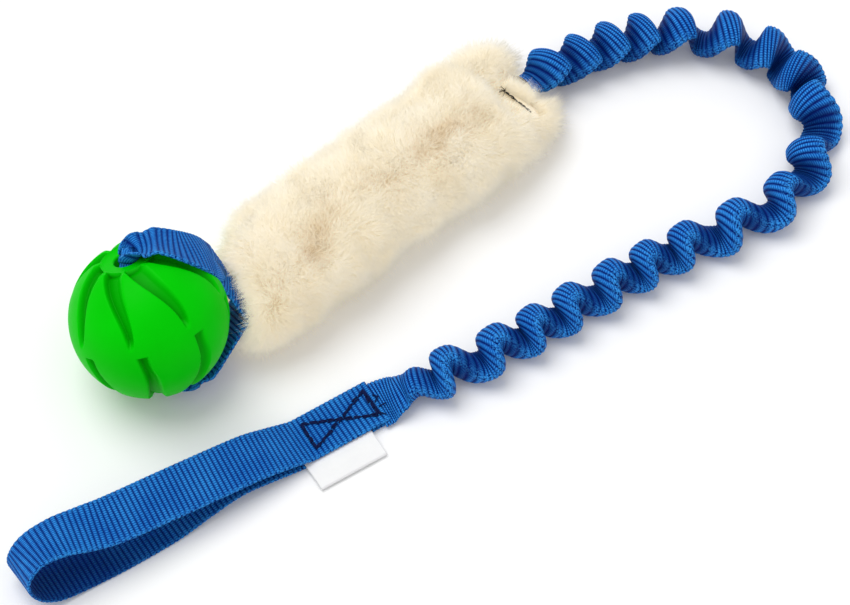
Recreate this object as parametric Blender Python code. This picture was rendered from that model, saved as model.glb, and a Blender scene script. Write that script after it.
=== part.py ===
"""Ball tug toy: a spiral treat ball on a webbing loop, a sheepskin sleeve, a gathered bungee lead and a webbing hand loop.

It lies on the floor at z = 0 as it is put down. The origin is on the underside of the box stitch, +X runs from the
hand loop to the lead along the handle, and +Z is up. Every size is in metres.
"""

import math

import bmesh
import bpy
from mathutils import Matrix, Vector

# Webbing: one width and one thickness through the whole toy
WEBBING_WIDTH = 0.020
WEBBING_THICKNESS = 0.0015
LAYER_GAP = 0.0011
TOUCH_GAP = 0.0003

# Ball
BALL_RADIUS = 0.0315
BALL_BORE_RADIUS = 0.0070
BALL_TILT = math.radians(32.0)
BALL_CENTRE = Vector((-0.0477, 0.0638, 0.0338))
BORE_MOUTH_FILLET = 0.0025
POLE_RECESS_RADIUS = 0.0115
POLE_FLOOR_DEPTH = 0.0035
POLE_FLOOR_HEIGHT = BALL_RADIUS - POLE_FLOOR_DEPTH
PETALS = 8
GROOVE_DEPTH = 0.0017
GROOVE_WIDTH_AT_EQUATOR = 0.0042
GROOVE_WIDTH_AT_POLE = 0.0056
GROOVE_WALL = 0.0005
GROOVE_SWIRL = math.radians(28.0)
SWIRL_START = math.radians(12.0)
SWIRL_SPAN = math.radians(52.0)
GROOVE_LONGITUDE = math.radians(9.6)
LOWER_GROOVE_SHIFT = math.radians(3.8)
UPPER_GROOVE_END = math.radians(9.0)
UPPER_GROOVE_FULL = math.radians(15.0)
LOWER_GROOVE_END = math.radians(2.8)
LOWER_GROOVE_FULL = math.radians(1.9)

# Webbing loop through the ball
LOOP_SLACK = 0.0008
LOOP_CURL = math.radians(200.0)
LOOP_BEND_RADIUS = 0.0041
LOOP_NECK = 0.0065
LOOP_REACH = BALL_RADIUS + LOOP_NECK
LOOP_HEADING = Vector((0.938, -0.194, -0.286)).normalized()
LOOP_NOSE_RADIUS = 0.0022
UPPER_LEG_TURN = math.radians(-19.0)

# Sheepskin sleeve: a rolled hide with its wool outside
SLEEVE_MOUTH_GAP = 0.0010
CORE_GAP = 0.0005
MOUTH_LEAN_LENGTH = 0.030
SLEEVE_NECK = Vector((0.1420, 0.0885, 0.0140))
SLEEVE_BORE_RADIUS = 0.0107
SLEEVE_HALF_WIDTH = 0.0255
SLEEVE_HALF_HEIGHT = 0.0210
SLEEVE_CENTRE_HEIGHT = 0.0200
SLEEVE_OFFSET = 0.0030
NECK_BORE_RADIUS = 0.0042
NECK_BORE_DEPTH = 0.0140
NECK_HALF_WIDTH = 0.0120
NECK_HALF_HEIGHT = 0.0075
PARTING_DEPTH = 0.0028
PARTING_ANGLE = math.radians(72.0)
PARTING_SPREAD = math.radians(11.0)
HIDE_PATCH_LENGTH = 0.028
HIDE_PATCH_SPREAD = math.radians(52.0)
TACK_LENGTH = 0.0140
TACK_SETBACK = 0.0058

# Bungee lead: a tubular webbing cover gathered into a corkscrew on an elastic cord
LEAD_DIAMETER = 0.0200
ELASTIC_RADIUS = 0.0025
COVER_BORE_RADIUS = 0.0031
COVER_WALL = 0.0008
COVER_END_RADIUS = 0.0044
GATHER_PITCH = 0.0185
GATHER_RAMP = 0.0140
GATHER_RING_STEP = 0.0020
# Where each gather stands out to the left of the lead, as a run from the handle
GATHER_CRESTS = [
    *(0.0219, 0.0441, 0.0612, 0.0788, 0.0989, 0.1156, 0.1336, 0.1575, 0.1824),
    *(0.2033, 0.2299, 0.2444, 0.2607, 0.2804, 0.3010, 0.3145, 0.3287, 0.3429),
]
COVER_SIDES = 12
BORE_SIDES = 8
BORE_STEP = 0.0070
LEAD_HEIGHT = 0.0103
LEAD_START_GAP = 0.0032

# Handle: hand loop, box stitch and label
HANDLE_LENGTH = 0.1410
HANDLE_LOOP_HEIGHT = 0.0240
BOX_END = 0.0172
BOX_HALF_LENGTH = 0.0143
BOX_HALF_WIDTH = 0.0062
BEND_PIVOT_GAP = 0.0021
TAIL_LENGTH = 0.0095
TAIL_NOSE_OFFSET = -0.0015
TAIL_END_OFFSET = -0.0028
THREAD = 0.0009
THREAD_HOLE = 0.0017
LABEL_LENGTH = 0.0300
LABEL_REACH = 0.0118
LABEL_TONGUE = 0.0035
LABEL_CENTRE = -0.0065
LABEL_SHEET = 0.0002
LABEL_SLIT = 0.0001
LABEL_FOLD_HEIGHT = 0.0011

UP = Vector((0.0, 0.0, 1.0))
SEGMENTS_ROUND_SLEEVE = 28


def clear_scene():
    for old in list(bpy.data.objects):
        bpy.data.objects.remove(old, do_unlink=True)


def material(name, colour, roughness, metallic=0.0):
    made = bpy.data.materials.new(name)
    made.use_nodes = True
    shader = made.node_tree.nodes["Principled BSDF"]
    shader.inputs["Base Color"].default_value = (*colour, 1.0)
    shader.inputs["Roughness"].default_value = roughness
    shader.inputs["Metallic"].default_value = metallic
    return made


def add_object(name, bm, colour, roughness, smooth_angle=35.0):
    mesh = bpy.data.meshes.new(name)
    bmesh.ops.recalc_face_normals(bm, faces=bm.faces)
    bm.to_mesh(mesh)
    bm.free()
    mesh.shade_smooth()
    mesh.set_sharp_from_angle(angle=math.radians(smooth_angle))
    mesh.materials.append(material(name, colour, roughness))
    made = bpy.data.objects.new(name, mesh)
    bpy.context.collection.objects.link(made)
    return made


def skin(bm, rings, closed=False):
    """Quads between neighbouring rings of the same number of points. Returns the rings as vertices."""
    loops = [[bm.verts.new(point) for point in ring] for ring in rings]
    pairs = list(zip(loops, loops[1:]))
    if closed:
        pairs.append((loops[-1], loops[0]))
    for here, there in pairs:
        count = len(here)
        for k in range(count):
            after = (k + 1) % count
            bm.faces.new((here[k], here[after], there[after], there[k]))
    return loops


def bridge(bm, first, second):
    """Triangles between two rings that start together and run the same way round."""
    a = b = 0
    while a < len(first) or b < len(second):
        here, there = first[a % len(first)], second[b % len(second)]
        if a * len(second) <= b * len(first):
            bm.faces.new((here, first[(a + 1) % len(first)], there))
            a += 1
        else:
            bm.faces.new((here, second[(b + 1) % len(second)], there))
            b += 1


def smoothstep(value):
    value = min(max(value, 0.0), 1.0)
    return value * value * (3.0 - 2.0 * value)


def mix(first, second, share):
    return first + (second - first) * share


def curve_through(points, step):
    """Points about a step apart on the smooth curve through the given ones."""
    dense = []
    padded = [2 * points[0] - points[1], *points, 2 * points[-1] - points[-2]]
    for before, start, end, after in zip(padded, padded[1:], padded[2:], padded[3:]):
        for k in range(24):
            t = k / 24.0
            dense.append(
                0.5
                * (
                    2 * start
                    + (end - before) * t
                    + (2 * before - 5 * start + 4 * end - after) * t**2
                    + (3 * start - before - 3 * end + after) * t**3
                )
            )
    dense.append(points[-1].copy())
    return resample(dense, step)


def lengths_along(points):
    run = [0.0]
    for start, end in zip(points, points[1:]):
        run.append(run[-1] + (end - start).length)
    return run


def resample(points, step):
    run = lengths_along(points)
    count = max(1, round(run[-1] / step))
    made = []
    at = 0
    for k in range(count + 1):
        want = run[-1] * k / count
        while at < len(run) - 2 and run[at + 1] < want:
            at += 1
        share = (want - run[at]) / (run[at + 1] - run[at])
        made.append(points[at].lerp(points[at + 1], share))
    return made


def tangents(points, closed=False):
    count = len(points)
    found = []
    for k in range(count):
        before = points[k - 1] if closed or k else points[0]
        after = points[(k + 1) % count] if closed or k < count - 1 else points[-1]
        found.append((after - before).normalized())
    return found


def webbing_section(centre, across, outward, thickness, curl=0.0, width=WEBBING_WIDTH, columns=6):
    """The outline of webbing cut square, curled by an angle towards its outward face."""
    faces = []
    for side in (-0.5, 0.5):
        row = []
        for k in range(columns + 1):
            share = k / columns - 0.5
            angle = share * curl
            if abs(curl) < 1e-6:
                aside, lift = share * width, 0.0
            else:
                radius = width / curl
                aside, lift = radius * math.sin(angle), radius * (1.0 - math.cos(angle))
            normal = outward * math.cos(angle) - across * math.sin(angle)
            row.append(centre + across * aside + outward * lift + normal * thickness * side)
        faces.append(row)
    return faces[0] + faces[1][::-1]


# Ball

BALL_AXIS = Vector((0.0, math.sin(BALL_TILT), math.cos(BALL_TILT)))


def groove_columns(latitude):
    """Longitude and share of groove depth of the columns of one petal at a latitude."""
    away = max(0.0, abs(latitude) - SWIRL_START)
    swirl = -GROOVE_SWIRL * (away / SWIRL_SPAN) ** 2
    half = smoothstep((UPPER_GROOVE_END - latitude) / (UPPER_GROOVE_END - LOWER_GROOVE_END))
    start = GROOVE_LONGITUDE + swirl + LOWER_GROOVE_SHIFT * half
    arc = BALL_RADIUS * math.cos(latitude)
    towards_pole = smoothstep(abs(latitude) / math.radians(66.0))
    width = mix(GROOVE_WIDTH_AT_EQUATOR, GROOVE_WIDTH_AT_POLE, towards_pole) / arc
    wall = GROOVE_WALL / arc
    sector = 2.0 * math.pi / PETALS
    columns = [(0.0, 0.0), (wall, 1.0), (width * 0.55, 1.0), (width * 0.80, 0.45), (width, 0.0)]
    columns += [(mix(width, sector, share), 0.0) for share in (0.25, 0.5, 0.75)]
    return [(start + turn, depth) for turn, depth in columns]


def groove_strength(latitude):
    """How much of its full depth the groove has at a latitude: none on the land between the two halves."""
    if latitude > LOWER_GROOVE_END:
        return smoothstep((latitude - UPPER_GROOVE_END) / (UPPER_GROOVE_FULL - UPPER_GROOVE_END))
    return smoothstep((LOWER_GROOVE_END - latitude) / (LOWER_GROOVE_END - LOWER_GROOVE_FULL))


def ball_row(latitude):
    strength = groove_strength(latitude)
    row = []
    for petal in range(PETALS):
        for longitude, depth in groove_columns(latitude):
            turn = longitude + petal * 2.0 * math.pi / PETALS
            radius = BALL_RADIUS - GROOVE_DEPTH * strength * depth
            flat = radius * math.cos(latitude)
            row.append(Vector((flat * math.cos(turn), flat * math.sin(turn), radius * math.sin(latitude))))
    return row


def level_row(radius, height, rim):
    """A plain ring whose points lie at the longitudes of the rim row beside it."""
    made = []
    for point in rim:
        turn = math.atan2(point.y, point.x)
        made.append(Vector((radius * math.cos(turn), radius * math.sin(turn), height)))
    return made


def make_ball():
    rim_latitude = math.acos(POLE_RECESS_RADIUS / BALL_RADIUS)
    upper_ends = [UPPER_GROOVE_FULL, UPPER_GROOVE_END]
    lower_ends = [LOWER_GROOVE_END, LOWER_GROOVE_FULL]
    steps_up = [math.radians(step) for step in (64.0, 57.0, 49.0, 40.0, 31.0, 22.5)]
    steps_down = [math.radians(step) for step in (-7.0, -17.0, -28.0, -38.0, -48.0, -57.0, -64.0)]
    latitudes = [rim_latitude, *steps_up, *upper_ends, *lower_ends, *steps_down, -rim_latitude]
    outer = [ball_row(latitude) for latitude in latitudes]
    fillet_centre = BALL_BORE_RADIUS + BORE_MOUTH_FILLET
    fillet_height = POLE_FLOOR_HEIGHT - BORE_MOUTH_FILLET
    mouth = []
    for step in range(4):
        angle = math.radians(90.0 - 30.0 * step)
        radius = fillet_centre - BORE_MOUTH_FILLET * math.cos(angle)
        mouth.append((radius, fillet_height + BORE_MOUTH_FILLET * math.sin(angle)))
    top = [level_row(radius, height, outer[0]) for radius, height in mouth]
    bottom = [level_row(radius, -height, outer[-1]) for radius, height in mouth]
    bm = bmesh.new()
    skin(bm, [*top[::-1], *outer, *bottom], closed=True)
    ball = add_object("ball", bm, (0.0, 0.56, 0.02), 0.42, 40.0)
    ball.location = BALL_CENTRE
    ball.rotation_euler = (-BALL_TILT, 0.0, 0.0)
    return ball


# Webbing loop through the ball: a belt round the ball and a small nose, closed through the bore

BALL_TO_STRAP = BALL_RADIUS + LOOP_SLACK + WEBBING_THICKNESS / 2
LOOP_PIVOT = BALL_CENTRE + LOOP_HEADING * LOOP_REACH
LOOP_ASIDE = (LOOP_HEADING - BALL_AXIS * LOOP_HEADING.dot(BALL_AXIS)).normalized()
LOOP_ACROSS = BALL_AXIS.cross(LOOP_ASIDE)
CURL_RADIUS = WEBBING_WIDTH / LOOP_CURL


def loop_direction(turn):
    return LOOP_ASIDE * math.cos(turn) + LOOP_ACROSS * math.sin(turn)


def bore_exit(side, turn):
    """Stations of the bend where the strap leaves the bore, as (point, outward, curl), from the bore outwards."""
    aside = loop_direction(turn)
    along = BALL_AXIS * side
    inner_face = POLE_FLOOR_HEIGHT + LOOP_SLACK
    bend_height = inner_face + WEBBING_THICKNESS / 2 - LOOP_BEND_RADIUS
    centre = BALL_CENTRE + aside * (CURL_RADIUS + LOOP_BEND_RADIUS) + along * bend_height
    stations = []
    for step in range(5):
        angle = math.radians(22.5 * step)
        outward = (along * math.sin(angle) - aside * math.cos(angle)).normalized()
        curl = mix(LOOP_CURL, LOOP_CURL * 0.52, smoothstep(step / 4))
        stations.append((centre + outward * LOOP_BEND_RADIUS, outward, curl))
    return stations


def leg(side, turn, first_angle, last_angle, steps):
    """Stations where the strap lies round the ball, by their angle from the pole."""
    stations = []
    for step in range(steps + 1):
        angle = mix(first_angle, last_angle, step / steps)
        settle = smoothstep((angle - math.radians(35.0)) / math.radians(45.0))
        aside = loop_direction(turn * (1.0 - settle))
        outward = BALL_AXIS * side * math.cos(angle) + aside * math.sin(angle)
        curl = LOOP_CURL * 0.40 * (1.0 - smoothstep((angle - math.radians(18.0)) / math.radians(26.0)))
        stations.append((BALL_CENTRE + outward * BALL_TO_STRAP, outward, curl))
    return stations


def loop_stations():
    pull = math.asin((BALL_TO_STRAP - LOOP_NOSE_RADIUS) / LOOP_REACH)
    lift_off = math.pi / 2 - pull
    to_heading = BALL_AXIS.angle(LOOP_HEADING)
    first = math.radians(22.0)
    upper = leg(1.0, UPPER_LEG_TURN, first, to_heading - lift_off, 8)
    lower = leg(-1.0, 0.0, first, math.pi - to_heading - lift_off, 2)
    hinge = LOOP_HEADING.cross(LOOP_ACROSS).normalized()
    nose = []
    for step in range(5):
        angle = mix(lift_off, -lift_off, step / 4)
        outward = LOOP_HEADING * math.cos(angle) - hinge * math.sin(angle)
        nose.append((LOOP_PIVOT + outward * LOOP_NOSE_RADIUS, outward, 0.0))
    if (nose[0][0] - upper[-1][0]).length > (nose[-1][0] - upper[-1][0]).length:
        nose.reverse()
    bore = []
    top = bore_exit(1.0, UPPER_LEG_TURN)
    bottom = bore_exit(-1.0, 0.0)
    for share in (0.25, 0.5, 0.75):
        turn = mix(0.0, UPPER_LEG_TURN, share)
        outward = -loop_direction(turn)
        height = mix((bottom[0][0] - BALL_CENTRE).dot(BALL_AXIS), (top[0][0] - BALL_CENTRE).dot(BALL_AXIS), share)
        bore.append((BALL_CENTRE - outward * CURL_RADIUS + BALL_AXIS * height, outward, LOOP_CURL))
    middle_up = between(upper[-1], nose[0])
    middle_down = between(nose[-1], lower[-1])
    return [*bore, *top, *upper, middle_up, *nose, middle_down, *lower[::-1], *bottom[::-1]]


def between(first, second):
    outward = (first[1] + second[1]).normalized()
    return (first[0] + second[0]) / 2, outward, 0.0


def make_ball_loop():
    stations = loop_stations()
    points = [station[0] for station in stations]
    rings = []
    for (point, outward, curl), along in zip(stations, tangents(points, closed=True)):
        across = along.cross(outward).normalized()
        square = across.cross(along).normalized()
        rings.append(webbing_section(point, across, square, WEBBING_THICKNESS, curl))
    bm = bmesh.new()
    skin(bm, rings, closed=True)
    return add_object("ball_loop", bm, (0.01, 0.13, 0.55), 0.75)


# Sheepskin sleeve and the two tails of the strap inside it

NOSE_OUTSIDE = LOOP_NOSE_RADIUS + WEBBING_THICKNESS / 2
SLEEVE_HEADING = (SLEEVE_NECK - LOOP_PIVOT).normalized()
MOUTH_SLANT = SLEEVE_HEADING.dot(LOOP_HEADING)
SLEEVE_MOUTH = LOOP_PIVOT + SLEEVE_HEADING * (NOSE_OUTSIDE + SLEEVE_MOUTH_GAP) / MOUTH_SLANT
SLEEVE_LENGTH = (SLEEVE_NECK - SLEEVE_MOUTH).length
SLEEVE_ASIDE = UP.cross(SLEEVE_HEADING).normalized()
SLEEVE_UP = SLEEVE_HEADING.cross(SLEEVE_ASIDE)


def square_to_loop(point, run):
    """Slides a point along the sleeve so that the mouth's face stands square to the strap loop before it."""
    share = 1.0 - smoothstep(run / MOUTH_LEAN_LENGTH)
    off = point - SLEEVE_MOUTH - SLEEVE_HEADING * run
    return point - SLEEVE_HEADING * share * off.dot(LOOP_HEADING) / MOUTH_SLANT


def sleeve_sizes(run):
    """Half width, half height, height of the centre and offset to the side at a run from the mouth."""
    from_mouth = min(max(run, 0.0) / 0.014, 1.0)
    blunt_mouth = 0.62 + 0.38 * math.sqrt(max(0.0, 1.0 - (1.0 - from_mouth) ** 2))
    to_end = min(max(SLEEVE_LENGTH - 0.001 - run, 0.0) / 0.020, 1.0)
    blunt_end = math.sqrt(max(0.0, 1.0 - (1.0 - to_end) ** 2))
    half_width = mix(NECK_HALF_WIDTH, SLEEVE_HALF_WIDTH, blunt_end) * blunt_mouth
    half_height = mix(NECK_HALF_HEIGHT, SLEEVE_HALF_HEIGHT, blunt_end) * blunt_mouth
    neck_share = smoothstep((run - SLEEVE_LENGTH + 0.034) / 0.026)
    centre = mix(SLEEVE_CENTRE_HEIGHT, SLEEVE_NECK.z, neck_share)
    offset = SLEEVE_OFFSET * (1.0 - smoothstep(run / SLEEVE_LENGTH))
    return half_width, half_height, centre, offset


def wool_ring(run):
    """One outline of the wool: flat on the floor, parted along the top and open over the hide at the neck."""
    half_width, half_height, height, offset = sleeve_sizes(run)
    middle = SLEEVE_MOUTH + SLEEVE_HEADING * run + SLEEVE_ASIDE * offset
    along = smoothstep((run - 0.012) / 0.020) * (1.0 - smoothstep((run - SLEEVE_LENGTH + 0.030) / 0.020))
    patch = smoothstep((run - SLEEVE_LENGTH + HIDE_PATCH_LENGTH) / 0.010)
    ring = []
    for k in range(SEGMENTS_ROUND_SLEEVE):
        angle = 2.0 * math.pi * k / SEGMENTS_ROUND_SLEEVE
        from_parting = math.remainder(angle - PARTING_ANGLE, 2.0 * math.pi)
        parting = PARTING_DEPTH * along * math.exp(-((from_parting / PARTING_SPREAD) ** 2))
        from_top = math.remainder(angle - math.pi / 2, 2.0 * math.pi)
        bare = patch * math.exp(-((from_top / HIDE_PATCH_SPREAD) ** 4))
        aside = (mix(half_width, NECK_HALF_WIDTH, bare) - parting) * math.cos(angle)
        lift = (mix(half_height, NECK_HALF_HEIGHT, bare) - parting) * math.sin(angle)
        point = middle - SLEEVE_ASIDE * aside
        point = square_to_loop(Vector((point.x, point.y, height + lift)), run)
        ring.append(Vector((point.x, point.y, max(0.0, point.z))))
    return ring


def bore_ring(run, radius):
    middle = SLEEVE_MOUTH + SLEEVE_HEADING * run
    ring = []
    for k in range(SEGMENTS_ROUND_SLEEVE):
        angle = 2.0 * math.pi * k / SEGMENTS_ROUND_SLEEVE
        aside = -SLEEVE_ASIDE * radius * math.cos(angle)
        ring.append(square_to_loop(middle + aside + SLEEVE_UP * radius * math.sin(angle), run))
    return ring


def sleeve_runs():
    near = [0.0, 0.0008, 0.0025, 0.005, 0.009, 0.014]
    plain = [0.014 + (SLEEVE_LENGTH - 0.044 - 0.014) * k / 8 for k in range(1, 9)]
    far = [SLEEVE_LENGTH - back for back in (0.036, 0.030, 0.025, 0.020, 0.016, 0.012, 0.009, 0.006, 0.004, 0.002, 0.0)]
    return near + plain + far


def make_sleeve():
    bm = bmesh.new()
    outer = skin(bm, [wool_ring(run) for run in sleeve_runs()])
    wide_end = SLEEVE_LENGTH - NECK_BORE_DEPTH
    bores = [(0.0, SLEEVE_BORE_RADIUS), (0.010, SLEEVE_BORE_RADIUS), (0.020, SLEEVE_BORE_RADIUS)]
    bores += [(MOUTH_LEAN_LENGTH, SLEEVE_BORE_RADIUS), (wide_end, SLEEVE_BORE_RADIUS)]
    bores += [(wide_end + 0.006, NECK_BORE_RADIUS), (SLEEVE_LENGTH, NECK_BORE_RADIUS)]
    inner = skin(bm, [bore_ring(run, radius) for run, radius in bores])
    bridge(bm, outer[0], inner[0])
    bridge(bm, outer[-1], inner[-1])
    return add_object("sheepskin_sleeve", bm, (0.90, 0.83, 0.70), 0.95, 60.0)


def make_core_straps():
    """The loop's two tails, one on the other, which turn level on their way to the neck."""
    hinge_across = LOOP_ACROSS - SLEEVE_HEADING * LOOP_ACROSS.dot(SLEEVE_HEADING)
    first_across = hinge_across.normalized()
    if first_across.dot(SLEEVE_ASIDE) < 0.0:
        first_across.negate()
    run_start = (CORE_GAP - SLEEVE_MOUTH_GAP) / MOUTH_SLANT
    run_end = SLEEVE_LENGTH - NECK_BORE_DEPTH - TOUCH_GAP
    spread = (WEBBING_THICKNESS + TOUCH_GAP) / 2
    for name, side in (("core_strap_upper", 1.0), ("core_strap_lower", -1.0)):
        rings = []
        for step in range(13):
            share = (step / 12) ** 1.3
            across = first_across.lerp(SLEEVE_ASIDE, smoothstep(share)).normalized()
            outward = SLEEVE_HEADING.cross(across).normalized()
            middle = SLEEVE_MOUTH + SLEEVE_HEADING * mix(run_start, run_end, share)
            centre = middle + outward * spread * side
            section = webbing_section(centre, across, outward, WEBBING_THICKNESS, columns=2)
            run = mix(run_start, run_end, share)
            rings.append([square_to_loop(point, run) for point in section])
        bm = bmesh.new()
        loops = skin(bm, rings)
        bm.faces.new(loops[0])
        bm.faces.new(loops[-1][::-1])
        add_object(name, bm, (0.01, 0.13, 0.55), 0.75)


# Bungee lead

TAIL_START = BOX_END + BEND_PIVOT_GAP
COVER_START = TAIL_START + TAIL_LENGTH + TOUCH_GAP
BOX_HEIGHT = 2 * WEBBING_THICKNESS + LAYER_GAP
LEAD_PIVOT = SLEEVE_NECK + SLEEVE_HEADING * LEAD_START_GAP
LEAD_ROUTE = [
    (0.0368, -0.0048),
    (0.0506, -0.0076),
    (0.0647, -0.0083),
    (0.0790, -0.0085),
    (0.0933, -0.0083),
    (0.1078, -0.0078),
    (0.1221, -0.0074),
    (0.1364, -0.0072),
    (0.1507, -0.0077),
    (0.1653, -0.0088),
    (0.1802, -0.0105),
    (0.1951, -0.0108),
    (0.2098, -0.0082),
    (0.2238, -0.0002),
    (0.2352, 0.0121),
    (0.2415, 0.0268),
    (0.2413, 0.0417),
    (0.2360, 0.0557),
    (0.2270, 0.0677),
    (0.2159, 0.0769),
    (0.2032, 0.0838),
    (0.1894, 0.0880),
    (0.1750, 0.0906),
    (0.1602, 0.0912),
]


def lead_points():
    start = Vector((COVER_START, TAIL_END_OFFSET, mix(BOX_HEIGHT / 2, LEAD_HEIGHT, 0.45)))
    middle = [Vector((x, y, LEAD_HEIGHT)) for x, y in LEAD_ROUTE]
    middle[0].z = mix(BOX_HEIGHT / 2, LEAD_HEIGHT, 0.85)
    middle[-1].z = mix(LEAD_HEIGHT, LEAD_PIVOT.z, 0.35)
    return [start, *middle, LEAD_PIVOT.copy()]


def lead_frames(step):
    """Points along the lead with their run, sideways and upward directions."""
    points = curve_through(lead_points(), step)
    headings = [Vector((1.0, 0.0, 0.0)), *tangents(points)[1:-1], -SLEEVE_HEADING]
    frames = []
    for point, run, along in zip(points, lengths_along(points), headings):
        aside = UP.cross(along).normalized()
        frames.append((point, run, aside, along.cross(aside)))
    return frames


def round_ring(point, aside, upward, radius, sides):
    ring = []
    for k in range(sides):
        angle = 2.0 * math.pi * (k + 0.5) / sides
        ring.append(point + aside * radius * math.cos(angle) + upward * radius * math.sin(angle))
    return ring


def gathers_before(run):
    """How many gathers lie before a run, crest by crest."""
    if run < GATHER_CRESTS[0]:
        return (run - GATHER_CRESTS[0]) / GATHER_PITCH
    for k, (here, there) in enumerate(zip(GATHER_CRESTS, GATHER_CRESTS[1:])):
        if run < there:
            return k + (run - here) / (there - here)
    return len(GATHER_CRESTS) - 1 + (run - GATHER_CRESTS[-1]) / GATHER_PITCH


def gather_rings():
    """Rings of the cover: a round section whose centre winds round the elastic, once in each gather."""
    frames = lead_frames(GATHER_RING_STEP)
    whole = frames[-1][1]
    waist = COVER_BORE_RADIUS + COVER_WALL
    swing = (LEAD_DIAMETER / 2 - waist) / 2
    full = waist + swing
    rings = []
    for point, run, aside, upward in frames:
        share = smoothstep(min(run, whole - run) / GATHER_RAMP)
        turn = -2.0 * math.pi * gathers_before(run)
        off = swing * share
        centre = point + aside * off * math.cos(turn) + upward * off * math.sin(turn)
        rings.append(round_ring(centre, aside, upward, mix(COVER_END_RADIUS, full, share), COVER_SIDES))
    nose = frames[-1]
    along = nose[2].cross(nose[3]).normalized()
    for lean in (25.0, 42.0):
        angle = math.radians(lean)
        centre = nose[0] + along * COVER_END_RADIUS * math.sin(angle)
        rings.append(round_ring(centre, nose[2], nose[3], COVER_END_RADIUS * math.cos(angle), COVER_SIDES))
    return rings


def make_cover():
    bm = bmesh.new()
    outer = skin(bm, gather_rings())
    frames = lead_frames(BORE_STEP)
    bore = [round_ring(point, aside, upward, COVER_BORE_RADIUS, BORE_SIDES) for point, run, aside, upward in frames]
    last = frames[-1]
    along = last[2].cross(last[3]).normalized()
    tip = COVER_END_RADIUS * math.sin(math.radians(42.0))
    bore.append(round_ring(last[0] + along * tip, last[2], last[3], COVER_BORE_RADIUS, BORE_SIDES))
    inner = skin(bm, bore)
    bridge(bm, outer[0], inner[0])
    bridge(bm, outer[-1], inner[-1])
    return add_object("bungee_cover", bm, (0.01, 0.13, 0.55), 0.78, 60.0)


def make_elastic():
    frames = lead_frames(BORE_STEP)
    points = [frame[0] for frame in frames]
    points[0] = points[0].lerp(points[1], 0.05)
    rings = []
    for point, (_, _, aside, upward) in zip(points, frames):
        rings.append(round_ring(point, aside, upward, ELASTIC_RADIUS, COVER_SIDES))
    bm = bmesh.new()
    loops = skin(bm, rings)
    bm.faces.new(loops[0])
    bm.faces.new(loops[-1][::-1])
    return add_object("elastic_cord", bm, (0.85, 0.83, 0.78), 0.6, 60.0)


def print_cover_gaps():
    frames = lead_frames(BORE_STEP)
    thinnest = COVER_WALL * 1000.0
    apothem = COVER_BORE_RADIUS * math.cos(math.pi / BORE_SIDES)
    print(f"lead {frames[-1][1] * 1000:.1f} mm long, {gathers_before(frames[-1][1]) + 1:.1f} gathers")
    print(f"cover wall at least {thinnest:.2f} mm, elastic clear by {(apothem - ELASTIC_RADIUS) * 1000:.2f} mm")
    points = [frame[0] for frame in lead_frames(GATHER_RING_STEP)]
    apart = math.ceil(1.5 * LEAD_DIAMETER / GATHER_RING_STEP)
    least = min((a - b).length for i, a in enumerate(points) for b in points[i + apart :])
    print(f"cover clear of itself by {(least - LEAD_DIAMETER) * 1000:.1f} mm")


# Handle

def make_lead_tail():
    """The flat end of the cover between the box stitch and the first gather, with a round nose at the bend."""
    start = Vector((TAIL_START, TAIL_NOSE_OFFSET, BOX_HEIGHT / 2))
    end = Vector((COVER_START - TOUCH_GAP, TAIL_END_OFFSET, lead_points()[0].z))
    nose = BOX_HEIGHT / 2 - 0.0002
    half = WEBBING_WIDTH / 2
    sections = []
    for lean in (80.0, 50.0, 25.0):
        angle = math.radians(lean)
        middle = Vector((start.x - nose * math.sin(angle), start.y, start.z))
        sections.append((middle, half, nose * math.cos(angle)))
    for share in (0.0, 0.3, 0.55, 0.8, 1.0):
        eased = smoothstep(max(0.0, share - 0.3) / 0.7)
        middle = Vector((mix(start.x, end.x, share), mix(start.y, end.y, eased), mix(start.z, end.z, eased)))
        sections.append((middle, mix(half, COVER_END_RADIUS * 1.15, eased), mix(nose, COVER_END_RADIUS, eased)))
    rings = []
    for middle, wide, thick in sections:
        squarish = 0.35 if wide > 1.3 * thick else 1.0
        ring = []
        for k in range(16):
            angle = 2.0 * math.pi * (k + 0.5) / 16
            aside = math.copysign(abs(math.cos(angle)) ** squarish, math.cos(angle)) * wide
            lift = math.copysign(abs(math.sin(angle)) ** squarish, math.sin(angle)) * thick
            ring.append(middle + Vector((0.0, aside, lift)))
        rings.append(ring)
    bm = bmesh.new()
    loops = skin(bm, rings)
    bm.faces.new(loops[0])
    bm.faces.new(loops[-1][::-1])
    return add_object("lead_tail", bm, (0.01, 0.13, 0.55), 0.78)


def handle_line():
    """The middle of the webbing seen from the side, from the cut end under the box round to the end on top of it."""
    low = WEBBING_THICKNESS / 2
    high = low + WEBBING_THICKNESS + LAYER_GAP
    top = HANDLE_LOOP_HEIGHT - WEBBING_THICKNESS / 2
    end = -HANDLE_LENGTH + WEBBING_THICKNESS / 2
    lower = [(-0.0200, low), (-0.0330, low + 0.0028), (-0.0490, low + 0.0060), (-0.0640, low + 0.0034)]
    lower += [(-0.0800, low), (-0.1000, low), (-0.1200, low), (end + 0.0100, low + 0.0014)]
    tip = [(end + 0.0030, 0.0066), (end, top * 0.54), (end + 0.0027, top * 0.80), (end + 0.0100, top - 0.0012)]
    upper = [(end + 0.0230, top), (-0.0980, top - 0.0005), (-0.0760, top - 0.0034), (-0.0550, top - 0.0054)]
    upper += [(-0.0400, 0.0140), (-0.0290, 0.0086), (-0.0210, high + 0.0016), (-0.0160, high)]
    points = [(BOX_END, low), (0.0, low), *lower, *tip, *upper, (0.0, high), (BOX_END, high)]
    return [Vector((x, 0.0, z)) for x, z in points]


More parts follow.
